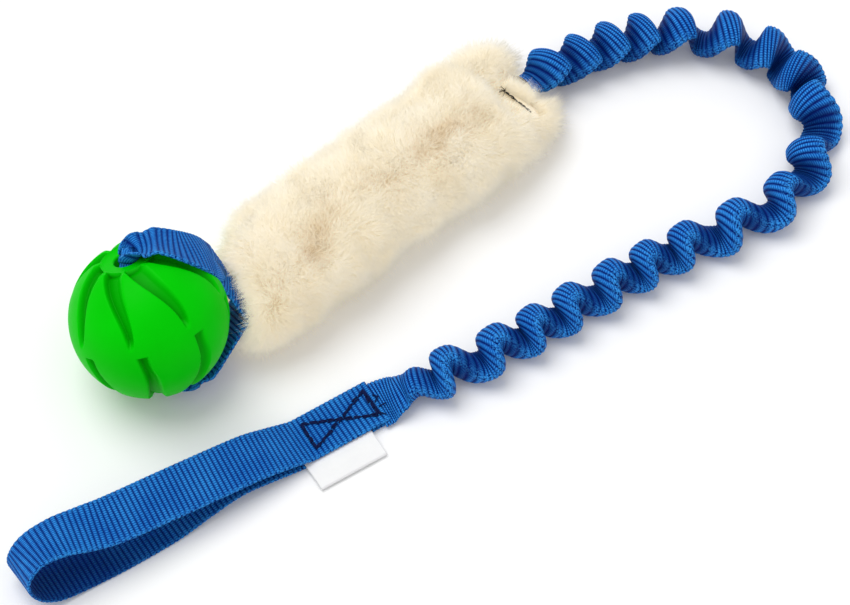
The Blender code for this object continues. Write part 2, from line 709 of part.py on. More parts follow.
def square_corners(points):
    """The smooth line, with its two ends under and over the box kept dead straight."""
    low = WEBBING_THICKNESS / 2
    high = low + WEBBING_THICKNESS + LAYER_GAP
    half = len(points) // 2
    for k, point in enumerate(points):
        if k < half and point.x > -0.0200:
            point.z = low
        if k > half and point.x > -0.0160:
            point.z = high
        point.z = max(point.z, low)
    return points


def make_handle():
    points = square_corners(curve_through(handle_line(), 0.0045))
    across = Vector((0.0, 1.0, 0.0))
    rings = []
    for point, along in zip(points, tangents(points)):
        outward = along.cross(across).normalized()
        rings.append(webbing_section(point, across, outward, WEBBING_THICKNESS, columns=1))
    bm = bmesh.new()
    loops = skin(bm, rings)
    bm.faces.new(loops[0])
    bm.faces.new(loops[-1][::-1])
    handle = add_object("handle_webbing", bm, (0.01, 0.13, 0.55), 0.75)
    for k, (x, y) in enumerate(box_corners()):
        cutter = add_round_peg(f"needle_hole_{k}", x, y, -0.002, BOX_HEIGHT + 0.002, THREAD_HOLE / 2)
        cut(handle, cutter)
    return handle


def box_corners():
    return [(x, y) for x in (-BOX_HALF_LENGTH, BOX_HALF_LENGTH) for y in (-BOX_HALF_WIDTH, BOX_HALF_WIDTH)]


def add_round_peg(name, x, y, bottom, top, radius, sides=8):
    bpy.ops.mesh.primitive_cylinder_add(
        vertices=sides, radius=radius, depth=top - bottom, location=(x, y, (top + bottom) / 2)
    )
    peg = bpy.context.object
    peg.name = name
    return peg


def add_bar(name, start, end, size):
    """A square bar between two points at the same height."""
    run = end - start
    bpy.ops.mesh.primitive_cube_add(size=1.0, location=(start + end) / 2)
    bar = bpy.context.object
    bar.name = name
    bar.rotation_euler = (0.0, 0.0, math.atan2(run.y, run.x))
    bar.scale = (run.length + size, size, size)
    bpy.ops.object.transform_apply(location=False, rotation=False, scale=True)
    return bar


def cut(target, cutter):
    cutter.hide_render = True
    cutter.display_type = "WIRE"
    difference = target.modifiers.new(cutter.name, "BOOLEAN")
    difference.operation = "DIFFERENCE"
    difference.solver = "EXACT"
    difference.object = cutter


def fuse(name, pieces, colour, roughness):
    """One thread made of runs and legs that cross each other."""
    body = pieces[0]
    body.name = name
    body.data.materials.clear()
    body.data.materials.append(material(name, colour, roughness))
    for piece in pieces[1:]:
        piece.hide_render = True
        piece.display_type = "WIRE"
        union = body.modifiers.new(piece.name, "BOOLEAN")
        union.operation = "UNION"
        union.solver = "EXACT"
        union.object = piece
    return body


def make_box_stitch():
    """Dark thread in two columns and a cross, with a leg through both layers at each corner."""
    top = BOX_HEIGHT + TOUCH_GAP + THREAD / 2
    corners = {(x > 0, y > 0): Vector((x, y, top)) for x, y in box_corners()}
    pieces = [
        add_bar("left_column", corners[False, False], corners[False, True], THREAD),
        add_bar("right_column", corners[True, False], corners[True, True], THREAD * 1.04),
        add_bar("cross_up", corners[False, False], corners[True, True], THREAD * 0.93),
        add_bar("cross_down", corners[False, True], corners[True, False], THREAD * 0.97),
    ]
    for k, (x, y) in enumerate(box_corners()):
        pieces.append(add_round_peg(f"thread_leg_{k}", x, y, TOUCH_GAP, top, THREAD * 0.42))
    return fuse("box_stitch", pieces, (0.01, 0.02, 0.08), 0.7)


def make_label():
    """A bare woven tag, folded in half, with its two ends held between the layers of webbing."""
    level = BOX_HEIGHT / 2
    leaf = (LABEL_SHEET + LABEL_SLIT) / 2
    edge = -WEBBING_WIDTH / 2
    out = edge - LABEL_REACH
    fold = LABEL_FOLD_HEIGHT / 2
    upper = [(edge + LABEL_TONGUE, leaf), (edge, leaf), (edge - 0.0030, leaf + 0.0001), (out + 0.0030, fold * 0.85)]
    tip = [(out + fold, fold), (out + 0.00015, fold * 0.5), (out, 0.0)]
    mirrored = [(y, -z) for y, z in reversed(upper + tip[:2])]
    droop = 0.0006
    points = []
    for y, z in upper + tip + mirrored:
        lower = droop * max(0.0, (edge - y) / LABEL_REACH) ** 2
        points.append(Vector((0.0, y, level + z - lower)))
    across = Vector((1.0, 0.0, 0.0))
    rings = []
    for point, along in zip(points, tangents(points)):
        outward = across.cross(along).normalized()
        rings.append(webbing_section(point, across, outward, LABEL_SHEET, width=LABEL_LENGTH, columns=1))
    bm = bmesh.new()
    loops = skin(bm, rings)
    bm.faces.new(loops[0])
    bm.faces.new(loops[-1][::-1])
    label = add_object("label", bm, (0.92, 0.92, 0.92), 0.6, 60.0)
    label.location = (LABEL_CENTRE, 0.0, 0.0)
    return label


def make_neck_tack(sleeve):
    """A bar of dark thread across the hide at the neck, with a leg at each end."""
    hide = sleeve_sizes(SLEEVE_LENGTH - TACK_SETBACK)[2] + NECK_HALF_HEIGHT
    top = hide + TOUCH_GAP + THREAD / 2 + 0.0001
    middle = SLEEVE_MOUTH + SLEEVE_HEADING * (SLEEVE_LENGTH - TACK_SETBACK)
    start = middle - SLEEVE_ASIDE * TACK_LENGTH / 2
    end = middle + SLEEVE_ASIDE * TACK_LENGTH / 2
    start.z = end.z = top
    pieces = [add_bar("tack_bar", start, end, THREAD)]
    depth = top - 0.0045
    for k, foot in enumerate((start, end)):
        inward = foot.lerp(middle, 0.08)
        pieces.append(add_round_peg(f"tack_leg_{k}", inward.x, inward.y, depth, top, THREAD * 0.45))
        hole = add_round_peg(f"tack_hole_{k}", inward.x, inward.y, depth - TOUCH_GAP, top, THREAD_HOLE / 2)
        cut(sleeve, hole)
    return fuse("neck_tack", pieces, (0.02, 0.02, 0.02), 0.7)


clear_scene()
make_ball()
make_ball_loop()
make_core_straps()
fleece = make_sleeve()
make_neck_tack(fleece)
make_cover()
make_elastic()
make_lead_tail()
make_handle()
make_box_stitch()
make_label()
print_cover_gaps()
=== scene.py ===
from functools import partialmethod
from math import acos, asin, cos, pi, radians, sin

import bpy
import numpy as np
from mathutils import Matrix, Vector


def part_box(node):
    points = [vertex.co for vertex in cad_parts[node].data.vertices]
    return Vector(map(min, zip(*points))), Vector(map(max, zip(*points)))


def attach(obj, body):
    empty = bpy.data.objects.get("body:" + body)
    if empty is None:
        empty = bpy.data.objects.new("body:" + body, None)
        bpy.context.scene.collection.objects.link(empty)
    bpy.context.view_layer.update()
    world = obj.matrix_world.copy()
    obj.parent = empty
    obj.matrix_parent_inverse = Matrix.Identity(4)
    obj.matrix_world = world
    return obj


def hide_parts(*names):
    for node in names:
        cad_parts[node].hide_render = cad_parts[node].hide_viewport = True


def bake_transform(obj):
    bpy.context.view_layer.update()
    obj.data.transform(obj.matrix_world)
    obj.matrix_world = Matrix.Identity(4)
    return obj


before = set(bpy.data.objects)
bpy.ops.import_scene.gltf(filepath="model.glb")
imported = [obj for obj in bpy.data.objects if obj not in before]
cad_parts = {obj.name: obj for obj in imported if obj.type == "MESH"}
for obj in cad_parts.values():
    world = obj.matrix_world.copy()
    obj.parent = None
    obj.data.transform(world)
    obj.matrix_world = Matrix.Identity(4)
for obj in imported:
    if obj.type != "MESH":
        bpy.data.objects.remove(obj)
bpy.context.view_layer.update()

MM = 0.001
UP = np.array([0, 0, 1])

# Camera: a long lens that looks down at the toy on the floor

TARGET = Vector((0.0577, 0.0296, 0))
AZIMUTH = radians(-31.8)
ELEVATION = radians(60)
DISTANCE = 1.5
SENSOR = 36
IMAGE_WIDTH = 850
PIXELS_PER_METRE = 2492
VIEW_DEPTH = 20


def add_camera():
    flat = cos(ELEVATION)
    back = Vector((sin(AZIMUTH) * flat, -cos(AZIMUTH) * flat, sin(ELEVATION)))
    data = bpy.data.cameras.new("camera")
    data.sensor_width = SENSOR
    data.lens = SENSOR * PIXELS_PER_METRE * DISTANCE / IMAGE_WIDTH
    data.clip_end = VIEW_DEPTH
    camera = bpy.data.objects.new("camera", data)
    camera.location = TARGET + back * DISTANCE
    camera.rotation_mode = "QUATERNION"
    camera.rotation_quaternion = (-back).to_track_quat("-Z", "Y")
    bpy.context.scene.collection.objects.link(camera)
    bpy.context.scene.camera = camera


add_camera()


# Small helpers for shapes in millimetres

SPLINE_STEPS = 40
LINE_VALUES = 4096
SPACE_VALUES = 65536
SPACE_PRIMES = np.array([73856093, 19349663, 83492791])


def smooth(x):
    x = np.clip(x, 0, 1)
    return x * x * (3 - 2 * x)


def rising(x, first, last):
    """From 0 where x is first to 1 where it is last, easing in and out."""
    return smooth((x - first) / (last - first))


def falling(x, first, last):
    return 1 - rising(x, first, last)


def mound(x, middle, reach):
    return np.exp(-(((x - middle) / reach) ** 2))


def mix(a, b, t):
    return a + (b - a) * t


def unit(v):
    v = np.asarray(v, float)
    return v / np.maximum(np.linalg.norm(v, axis=-1, keepdims=True), 1e-12)


def turns(count):
    return np.linspace(0, 2 * pi, count, endpoint=False)


def wrapped(angle):
    return np.remainder(angle + pi, 2 * pi) - pi


def lifted(points, least):
    points[..., 2] = np.maximum(points[..., 2], least)
    return points


def lengths_along(points):
    return np.concatenate([[0], np.cumsum(np.linalg.norm(np.diff(points, axis=0), axis=1))])


def sampled(at, run, rows):
    return np.stack([np.interp(at, run, column) for column in rows.T], axis=1)


def route_through(points, step):
    """Evenly spaced points on a smooth curve through others, and their runs along it."""
    p = np.asarray(points, float)
    p = np.vstack([2 * p[0] - p[1], p, 2 * p[-1] - p[-2]])
    t = np.linspace(0, 1, SPLINE_STEPS, endpoint=False)[:, None]
    dense = []
    for a, b, c, d in zip(p, p[1:], p[2:], p[3:]):
        bend = (2 * a - 5 * b + 4 * c - d) * t**2 + (3 * b - a - 3 * c + d) * t**3
        dense.append(0.5 * (2 * b + (c - a) * t + bend))
    dense = np.vstack([*dense, p[-2]])
    run = lengths_along(dense)
    at = np.linspace(0, run[-1], int(round(run[-1] / step)) + 1)
    return sampled(at, run, dense), at


def headings(points):
    return unit(np.gradient(points, axis=0))


def eased(values, reach, run):
    half = max(1, int(reach / (run[1] - run[0]) / 2))
    weights = np.hanning(2 * half + 3)[1:-1]
    weights = weights / weights.sum()
    rows = values.reshape(len(values), -1)
    padded = np.concatenate([np.repeat(rows[:1], half, 0), rows, np.repeat(rows[-1:], half, 0)])
    soft = np.stack([np.convolve(column, weights, "valid") for column in padded.T], axis=1)
    return soft.reshape(values.shape)


def noise_table(seed, count):
    return np.random.default_rng(seed).random(count) * 2 - 1


def wander(x, seed, step):
    """Smooth random values from -1 to 1, a step apart."""
    table = noise_table(seed, LINE_VALUES)
    x = np.asarray(x, float) / step
    low = np.floor(x).astype(int)
    return mix(table[low % LINE_VALUES], table[(low + 1) % LINE_VALUES], smooth(x - low))


def lumps(p, seed, size):
    """Smooth random values from -1 to 1, in lumps of a size in millimetres."""
    table = noise_table(seed, SPACE_VALUES)
    q = np.asarray(p, float) / size
    low = np.floor(q).astype(np.int64)
    part = smooth(q - low)
    total = np.zeros(q.shape[:-1])
    for corner in np.ndindex(2, 2, 2):
        spot = np.bitwise_xor.reduce((low + corner) * SPACE_PRIMES, axis=-1) % SPACE_VALUES
        total = total + np.prod(np.where(corner, part, 1 - part), axis=-1) * table[spot]
    return total


def mesh_object(name, points, faces, values=None):
    """A piece from points in millimetres, with one number a point for each named value."""
    mesh = bpy.data.meshes.new(name)
    mesh.from_pydata((np.asarray(points, float).reshape(-1, 3) * MM).tolist(), [], faces)
    for key, numbers in (values or {}).items():
        attribute = mesh.attributes.new(key, "FLOAT", "POINT")
        attribute.data.foreach_set("value", np.asarray(numbers, np.float32).ravel())
    mesh.polygons.foreach_set("use_smooth", [True] * len(mesh.polygons))
    mesh.update()
    face_outward(mesh)
    made = bpy.data.objects.new(name, mesh)
    bpy.context.scene.collection.objects.link(made)
    return made


def face_outward(mesh):
    mesh.calc_loop_triangles()
    p = np.zeros(len(mesh.vertices) * 3)
    mesh.vertices.foreach_get("co", p)
    t = np.zeros(len(mesh.loop_triangles) * 3, np.int64)
    mesh.loop_triangles.foreach_get("vertices", t)
    a, b, c = (p.reshape(-1, 3)[t.reshape(-1, 3)[:, k]] for k in range(3))
    if np.einsum("ij,ij->i", a, np.cross(b, c)).sum() < 0:
        mesh.flip_normals()


def skin_faces(stations, around, closed=False):
    """Faces of a tube of rings, with a cap at each end or, when closed, joined end to end."""
    a = np.arange(stations if closed else stations - 1)[:, None]
    k = np.arange(around)[None, :]
    b = (a + 1) % stations
    after = (k + 1) % around
    corners = [a * around + k, a * around + after, b * around + after, b * around + k]
    faces = np.stack(corners, axis=-1).reshape(-1, 4).tolist()
    if not closed:
        faces.append(list(range(around))[::-1])
        faces.append(list(range((stations - 1) * around, stations * around)))
    return faces


def skin_object(name, rings, values=None, closed=False):
    return mesh_object(name, rings, skin_faces(*rings.shape[:2], closed), values)


# Shader maths

# the Mix node's sockets for colours share their names with others, so they go by number
FIRST_COLOUR, SECOND_COLOUR, MIXED_COLOUR = 6, 7, 2


class Value:
    """A socket that can be used in sums, so that a pattern reads as its formula."""

    def __init__(self, material, socket):
        self.material, self.socket = material, socket

    def op(self, operation, *others, swap=False, clamp=False):
        terms = [self, *others]
        if swap:
            terms.reverse()
        settings = {"operation": operation, "use_clamp": clamp}
        return self.material.node("ShaderNodeMath", settings, dict(enumerate(terms)))

    __add__ = __radd__ = partialmethod(op, "ADD")
    __sub__ = partialmethod(op, "SUBTRACT")
    __rsub__ = partialmethod(op, "SUBTRACT", swap=True)
    __mul__ = __rmul__ = partialmethod(op, "MULTIPLY")
    __truediv__ = partialmethod(op, "DIVIDE")
    __pow__ = partialmethod(op, "POWER")
    __abs__ = partialmethod(op, "ABSOLUTE")
    sine = partialmethod(op, "SINE")
    floor = partialmethod(op, "FLOOR")
    # the value, held between 0 and 1
    held = partialmethod(op, "ADD", 0, clamp=True)


class Finish:
    def __init__(self, name, colour, roughness, sockets=None):
        self.made = bpy.data.materials.new(name)
        self.made.use_nodes = True
        self.tree = self.made.node_tree
        self.shader = self.tree.nodes["Principled BSDF"]
        self.set("Base Color", colour)
        self.set("Roughness", roughness)
        for key, value in (sockets or {}).items():
            self.set(key, value)

    def set(self, socket, value):
        self.feed(self.shader.inputs[socket], value)

    def feed(self, socket, value):
        if isinstance(value, Value):
            self.tree.links.new(value.socket, socket)
        else:
            socket.default_value = (*value, 1) if isinstance(value, tuple) else value

    def node(self, kind, settings, sockets, output=0):
        """A node from its type, its settings and the values or links of its sockets."""
        made = self.tree.nodes.new(kind)
        for key, value in settings.items():
            setattr(made, key, value)
        for key, value in sockets.items():
            self.feed(made.inputs[key], value)
        return Value(self, made.outputs[output])

    def attribute(self, name):
        return self.node("ShaderNodeAttribute", {"attribute_name": name}, {}, "Fac")

    def place(self):
        return self.node("ShaderNodeTexCoord", {}, {}, "Object")

    def clouds(self, scale, detail):
        sockets = {"Vector": self.place(), "Scale": scale, "Detail": detail}
        return self.node("ShaderNodeTexNoise", {}, sockets, "Fac")

    def blend(self, factor, first, second):
        sockets = {0: factor, FIRST_COLOUR: first, SECOND_COLOUR: second}
        return self.node("ShaderNodeMix", {"data_type": "RGBA"}, sockets, MIXED_COLOUR)

    def bump(self, height, distance):
        return self.node("ShaderNodeBump", {}, {"Height": height, "Distance": distance}, "Normal")


def dress(piece, finish):
    piece.data.materials.clear()
    piece.data.materials.append(finish.made)


MATT = {"Specular IOR Level": 0.05}
YARN_PITCH = 0.9
SPECK_GAIN = 6
SPECK_LEVEL = 2.7
# how strongly painted shade darkens the webbing in recesses and inside loops
PAINTED_SHADE_STRENGTH = 0.72

# blues of the painted shade between the ribs, of the ribs, and of the painted highlights on their
# tops
STRAP_BLUES = ((0, 0.014, 0.16), (0, 0.080, 0.395), (0.035, 0.30, 0.78))
TUBE_BLUES = ((0, 0.008, 0.135), (0, 0.089, 0.46), (0.045, 0.34, 0.88))
# the blue that the painted shade darkens the webbing towards
PAINTED_SHADE_BLUE = (0, 0.010, 0.13)


def webbing_finish(name, blues, crisp):
    """Ribbed nylon: painted shade between the ribs, with the warp yarns as beads along each rib
    that carry painted highlights.
    """
    deep, mid, light = blues
    f = Finish(name, mid, 0.5, MATT)
    rib = f.attribute("rib")
    yarn = f.attribute("yarn")
    edge = f.attribute("edge")
    crest = abs((rib * pi).sine())
    beads = abs(((yarn / YARN_PITCH + rib.floor() * 0.5) * pi).sine())
    # patches of noise that break up the painted highlights
    highlight_patches = f.clouds(90, 4)
    grain = f.clouds(1500, 2)
    # painted highlights: light blue on the beads and in patches along the ribs' tops
    top = f.blend((beads**2 * (0.35 + grain * 1.1) + highlight_patches * 0.9 - 0.5).held(), mid, light)
    # painted shade: deep blue in the gaps between the ribs
    shade = (crest**crisp * 1.12 + grain * 0.3 - 0.16).held()
    colour = f.blend(shade, deep, top)
    # the selvages are speckled dark and light
    specks = ((grain * SPECK_GAIN - SPECK_LEVEL).held() * edge).held()
    dark = ((SPECK_LEVEL - grain * SPECK_GAIN).held() * edge).held()
    colour = f.blend(specks, f.blend(dark, colour, deep), light)
    # painted shade, darker in recesses and inside loops
    f.set("Base Color", f.blend(f.attribute("painted_shade") * PAINTED_SHADE_STRENGTH, colour, PAINTED_SHADE_BLUE))
    f.set("Roughness", 0.58 - beads * crest * 0.16)
    height = (0.5 + beads * 0.45) * crest * 0.9 + grain * (0.4 + edge * 1.6)
    f.set("Normal", f.bump(height, 0.0004))
    return f


def thread_finish(name, colour):
    f = Finish(name, colour, 0.7, MATT)
    light = tuple(min(1, c * 1.8 + 0.01) for c in colour)
    f.set("Normal", f.bump(f.clouds(2600, 2), 0.0002))
    f.set("Base Color", f.blend(f.clouds(900, 2), colour, light))
    return f


STRAP = webbing_finish("ribbed_webbing", STRAP_BLUES, 1.2)
TUBE = webbing_finish("tubular_webbing", TUBE_BLUES, 1.6)
NAVY_THREAD = thread_finish("navy_thread", (0.0005, 0.004, 0.040))
DARK_THREAD = thread_finish("dark_thread", (0.02, 0.018, 0.016))


# The lead: tubular webbing gathered on an elastic, from the box stitch to the neck of the sleeve

BOX_END = 17.2
LEAD_START = (29.1, -2.8, 5.8)
LEAD_HEIGHT = 10.3
FIRST_HEIGHT, LAST_HEIGHT = 9.1, 11.5
LEAD_ROUTE = [
    *((36.8, -4.8), (50.6, -7.6), (64.7, -8.3), (79, -8.5), (93.3, -8.3), (107.8, -7.8)),
    *((122.1, -7.4), (136.4, -7.2), (150.7, -7.7), (165.3, -8.8), (180.2, -10.5), (195.1, -10.8)),
    *((209.8, -8.2), (223.8, -0.2), (235.2, 12.1), (241.5, 26.8), (241.3, 41.7), (236, 55.7)),
    *((227, 67.7), (215.9, 76.9), (203.2, 83.8), (189.4, 88), (175, 90.6), (160.2, 91.2)),
]
NECK = np.array([145.13, 89.15, 13.82])
NECK_HEADING = unit([0.9774, 0.2035, -0.0567])
NECK_DEPTH = 11
LEAD_STEP = 0.25
CORD_STEP = 4
TUBE_SIDES = 56

# crests of the gathers, in millimetres from the lead's start
GATHER_CRESTS = np.array(
    (21.9, 44.1, 61.2, 78.8, 98.9, 115.6, 133.6, 157.5, 182.4)
    + (203.3, 229.9, 244.4, 260.7, 280.4, 301, 314.5, 328.7, 342.9)
)
GATHER_PITCH = 18.5
CRESTS_BEFORE, CRESTS_AFTER = 8, 4
RIBS_A_GATHER = 15
FIRST_RIB = 200

# sizes of the gathers, flat folds beside the sleeve and round ones beside the handle
HALF_WIDE = (7.8, 7.2)
HALF_THICK = (4.2, 5.7)
SWING_FLAT = (6.2, 3.7)
SWING_EDGE = (1.9, 3.2)
TWIST = (0.85, 0.25)
WIDEN = (0.50, 0.95)
SELVAGE_REACH = (2.5, 1.7)
ROLL = (8, 30)
SKEW = (0.15, 0.35)
LEAN = (0.22, 0.13)
# painted shade darkens the tube where it lies nearer its line than this
PAINTED_SHADE_FROM = (10.6, 8.6)
ROUND_UNTIL, FLAT_FROM = 140, 230
FOLD_SQUARE = 0.20
FOLD_PINCH = 0.75
FAR_HOLLOW = 1.6

# half the width and thickness of the flat tail, and of the end in the neck
FLAT_TAIL = (10, 1.45)
NECK_STUB = (4.7, 3.3)
TAIL_LENGTH = 12
NECK_LENGTH = 19


def lead_line(step):
    tail = [(BOX_END - 2, -1.2, 2.05), (BOX_END + 3, -1.5, 2.3)]
    tail += [(LEAD_START[0] - 4, -2.3, 4.6), LEAD_START]
    bend = [(x, y, LEAD_HEIGHT) for x, y in LEAD_ROUTE]
    bend[0] = (*LEAD_ROUTE[0], FIRST_HEIGHT)
    bend[-1] = (*LEAD_ROUTE[-1], LAST_HEIGHT)
    return route_through([*tail, *bend, NECK, NECK - NECK_HEADING * NECK_DEPTH], step)


def gathers_before(run):
    """The count of gathers up to a run, at an even pitch past the first and last."""
    first = GATHER_CRESTS[0] - GATHER_PITCH * np.arange(CRESTS_BEFORE, 0, -1)
    last = GATHER_CRESTS[-1] + GATHER_PITCH * np.arange(1, CRESTS_AFTER + 1)
    knots = np.concatenate([first, GATHER_CRESTS, last])
    return np.interp(run, knots, np.arange(len(knots)) - CRESTS_BEFORE)


def pinched(x):
    return np.sign(x) * np.abs(x) ** 1.2


def tube_section():
    fine = np.linspace(0, 2 * pi, 2001)
    x, y = HALF_WIDE[0] * np.cos(fine), HALF_THICK[0] * pinched(np.sin(fine))
    arc = np.concatenate([[0], np.cumsum(np.hypot(np.diff(x), np.diff(y)))])
    at = np.linspace(0, arc[-1], TUBE_SIDES, endpoint=False)
    return np.interp(at, arc, fine), np.minimum(at, arc[-1] - at)


def seam_angle(along, grown):
    """The upper selvage's place: on top beside the handle, on the far side beside the sleeve."""
    degrees = 140 + 20 * rising(along, 150, 210) + 25 * rising(along, 225, 270)
    degrees = degrees + 40 * falling(along, -TAIL_LENGTH, 10)
    return np.radians(degrees + 13 * wander(along, 9, 21) * grown)


def make_lead():
    line, run = lead_line(LEAD_STEP)
    early = len(line) // 8
    start = np.interp(LEAD_START[0], line[:early, 0], run[:early])
    along = (run - start)[:, None]
    whole = run[-1] - start
    heading = headings(line)
    aside = unit(np.cross(UP, heading))
    upward = np.cross(heading, aside)
    grown = rising(along, -1, 14) * falling(along - whole, -18, -9)
    round_part = falling(along, ROUND_UNTIL, FLAT_FROM)

    def sized(pair):
        return mix(*pair, round_part)

    seam = seam_angle(along, grown)
    wide_way = aside * np.cos(seam) + upward * np.sin(seam)
    flat_way = aside * np.sin(seam) - upward * np.cos(seam)
    gathers = gathers_before(along)
    phase = -2 * pi * gathers - seam + pi / 2
    fold = phase - FOLD_SQUARE * np.sin(2 * phase)
    size = grown * (1 + 0.14 * wander(along, 5, 16))
    off_flat = sized(SWING_FLAT) * size * np.cos(fold)
    off_wide = sized(SWING_EDGE) * size * np.sin(fold)
    # beside the sleeve the hollows lie towards the far side
    off_wide = off_wide - FAR_HOLLOW * rising(along, 262, 292) * size * np.cos(fold)

    angle, from_seam = tube_section()
    tip, side = np.cos(angle), np.sin(angle)
    flat_end = falling(along, -TAIL_LENGTH, 6)
    stub = rising(along - whole, -17, -10)
    half_wide, half_thick = (
        mix(mix(sized(pair), tail, flat_end), neck, stub)
        for pair, tail, neck in zip((HALF_WIDE, HALF_THICK), FLAT_TAIL, NECK_STUB)
    )
    half_thick = half_thick - FOLD_PINCH * (grown * np.cos(fold)) * side
    ribs = gathers * RIBS_A_GATHER + FIRST_RIB
    crest = np.abs(np.sin(pi * ribs))
    to_edge = np.minimum(from_seam, np.max(from_seam) - from_seam)
    edge = mound(to_edge, 0, sized(SELVAGE_REACH))
    relief = 0.34 * (crest**0.8 - 0.6) * (1 - 0.6 * edge)
    beads = edge * (0.34 + 0.40 * (crest - 0.5))
    wide = (half_wide + relief + beads) * tip
    flat = -(half_thick + relief) * pinched(side) - 0.35 * edge * side

    # at each crest the upper selvage rolls up with the fold, and at each hollow down
    roll = np.radians(sized(ROLL)) * grown * np.cos(fold)
    rolled_wide = wide * np.cos(roll) - flat * np.sin(roll) + off_wide
    rolled_flat = wide * np.sin(roll) + flat * np.cos(roll) + off_flat
    out = wide_way[:, None] * rolled_wide[..., None] + flat_way[:, None] * rolled_flat[..., None]
    spread = GATHER_PITCH / (2 * pi) * grown
    twist = sized(TWIST) * np.cos(phase) * tip
    widen = sized(WIDEN) * np.sin(phase) * side
    lean = sized(LEAN) * grown * np.einsum("ikc,ic->ik", out, aside)
    shift = spread * (twist + widen) - lean - sized(SKEW) * off_flat
    rings = lifted(line[:, None] + out + heading[:, None] * shift[..., None], 0.15)

    # painted shade: darker close to the lead's line, and beside the sleeve on the near half of
    # each strand away from its crest
    painted_shade = smooth((sized(PAINTED_SHADE_FROM) - np.linalg.norm(out, axis=-1)) / 5)
    painted_hollow_shade = smooth((0.45 - np.cos(fold)) / 0.9) * smooth((0.25 - tip) / 0.7)
    painted_hollow_shade = painted_hollow_shade * (1 - round_part)
    values = {
        "rib": np.broadcast_to(ribs, shift.shape),
        "yarn": np.broadcast_to(from_seam, shift.shape),
        "edge": edge,
        "painted_shade": np.maximum(painted_shade, 0.75 * painted_hollow_shade) * grown,
    }

    def piece(name, part):
        made = skin_object(name, rings[part], {key: v[part] for key, v in values.items()})
        dress(made, TUBE)
        return made

    cut, neck = np.searchsorted(run - start, [1, whole - NECK_LENGTH])
    tail = piece("lead_tail_webbing", slice(0, cut + 1))
    cover = piece("bungee_cover_webbing", slice(cut, neck + 1))
    neck_end = piece("neck_webbing", slice(neck, None))
    path, path_run = lead_line(CORD_STEP)
    kept = (path_run > start + 0.5) & (path_run < run[neck] - 0.5)
    return tail, cover, neck_end, path[kept] * MM, (run[neck] - start) * MM


tail, cover, neck_end, lead_path, lead_length = make_lead()
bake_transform(neck_end)
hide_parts("bungee_cover", "elastic_cord")
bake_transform(cover)
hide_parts("lead_tail")
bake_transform(tail)


# Flat ribbed webbing

WEB_WIDTH = 20
WEB_THICK = 1.5
WEB_STEP = 0.27
RIB_PITCH = 2.12
RIB_HEIGHT = 0.24
EDGE_REACH = 0.9
NO_CURL = 1e-6


def web_profile():
    columns = np.linspace(-0.93, 0.93, 15)
    top = [(c, 1) for c in columns]
    right = [(0.978, 0.72), (1, 0), (0.978, -0.72)]
    bottom = [(c, -1) for c in columns[::-1]]
    left = [(-0.978, -0.72), (-1, 0), (-0.978, 0.72)]
    return np.array([*top, *right, *bottom, *left])


def make_webbing(name, line, run, outward, curl=0, inside=0):
    """Ribbed webbing along a line, with its top face outward.

    curl is the angle that it bends across its width, and inside how far its lower face lies in
    the shade of a loop, which is painted on as shade: one value or one a point.
    """
    heading = headings(line)
    across = unit(np.cross(heading, outward))
    normal = np.cross(across, heading)
    side, through = web_profile().T
    ribs = (run / run[-1] * max(1, round(run[-1] / RIB_PITCH)))[:, None]
    crest = np.abs(np.sin(pi * ribs))
    edge = mound((1 - np.abs(side)) * WEB_WIDTH / 2, 0, EDGE_REACH)
    relief = RIB_HEIGHT * (crest**0.7 - 0.6) * (1 - 0.5 * edge)
    w = side * WEB_WIDTH / 2 + np.sign(side) * edge * 0.22 * (crest - 0.5)
    t = through * (WEB_THICK / 2 - 0.1 + relief + 0.12 * edge)
    bend = np.broadcast_to(curl, len(line))[:, None] / WEB_WIDTH
    angle = w * bend
    straight = np.abs(bend) < NO_CURL
    safe = np.where(straight, 1, bend)
    aside = np.where(straight, w, np.sin(angle) / safe) - np.sin(angle) * t
    lift = np.where(straight, 0, (1 - np.cos(angle)) / safe) + np.cos(angle) * t
    rings = line[:, None] + across[:, None] * aside[..., None] + normal[:, None] * lift[..., None]
    values = {
        "rib": np.broadcast_to(ribs + 100, w.shape),
        "yarn": np.broadcast_to(side * WEB_WIDTH / 2 + WEB_WIDTH, w.shape),
        "edge": np.broadcast_to(edge, w.shape),
        # painted shade on the lower face
        "painted_shade": np.broadcast_to(inside, len(line))[:, None] * smooth(0.5 - through),
    }
    made = skin_object(name, rings, values)
    dress(made, STRAP)
    return made


# Hand loop

LOWER_LAYER, UPPER_LAYER = 0.8, 3.35

# x, y, height and roll in degrees, with the near edge up
HANDLE_POINTS = [
    *((17.2, 0, LOWER_LAYER, 0), (0, 0, LOWER_LAYER, 0), (-20, 0, LOWER_LAYER, 0)),
    *((-33, 0, 3.6, 0), (-49, 0, 6.6, 0), (-64, -0.3, 4, 0), (-80, -1.2, 1.3, -1)),
    *((-102.5, -1.6, 0.95, -1), (-119, -1.2, 1.2, 1), (-130.5, -0.9, 2.4, 7)),
    *((-138, -0.2, 6.8, 15), (-141.4, 1.2, 13.4, 21), (-139.8, 3, 19.3, 23)),
    *((-132.6, 4.9, 22.4, 20), (-122.2, 4.6, 22.8, 11), (-112, 2.9, 21.6, -2)),
    *((-100, 0.9, 20.8, -12), (-78, 0, 18.6, -16), (-56, -0.2, 15.4, -15)),
    *((-40, 0, 12.2, -11), (-29, 0, 8.3, -4), (-21, 0, 5, 0)),
    *((-16, 0, UPPER_LAYER, 0), (0, 0, UPPER_LAYER, 0), (17.2, 0, UPPER_LAYER, 0)),
]


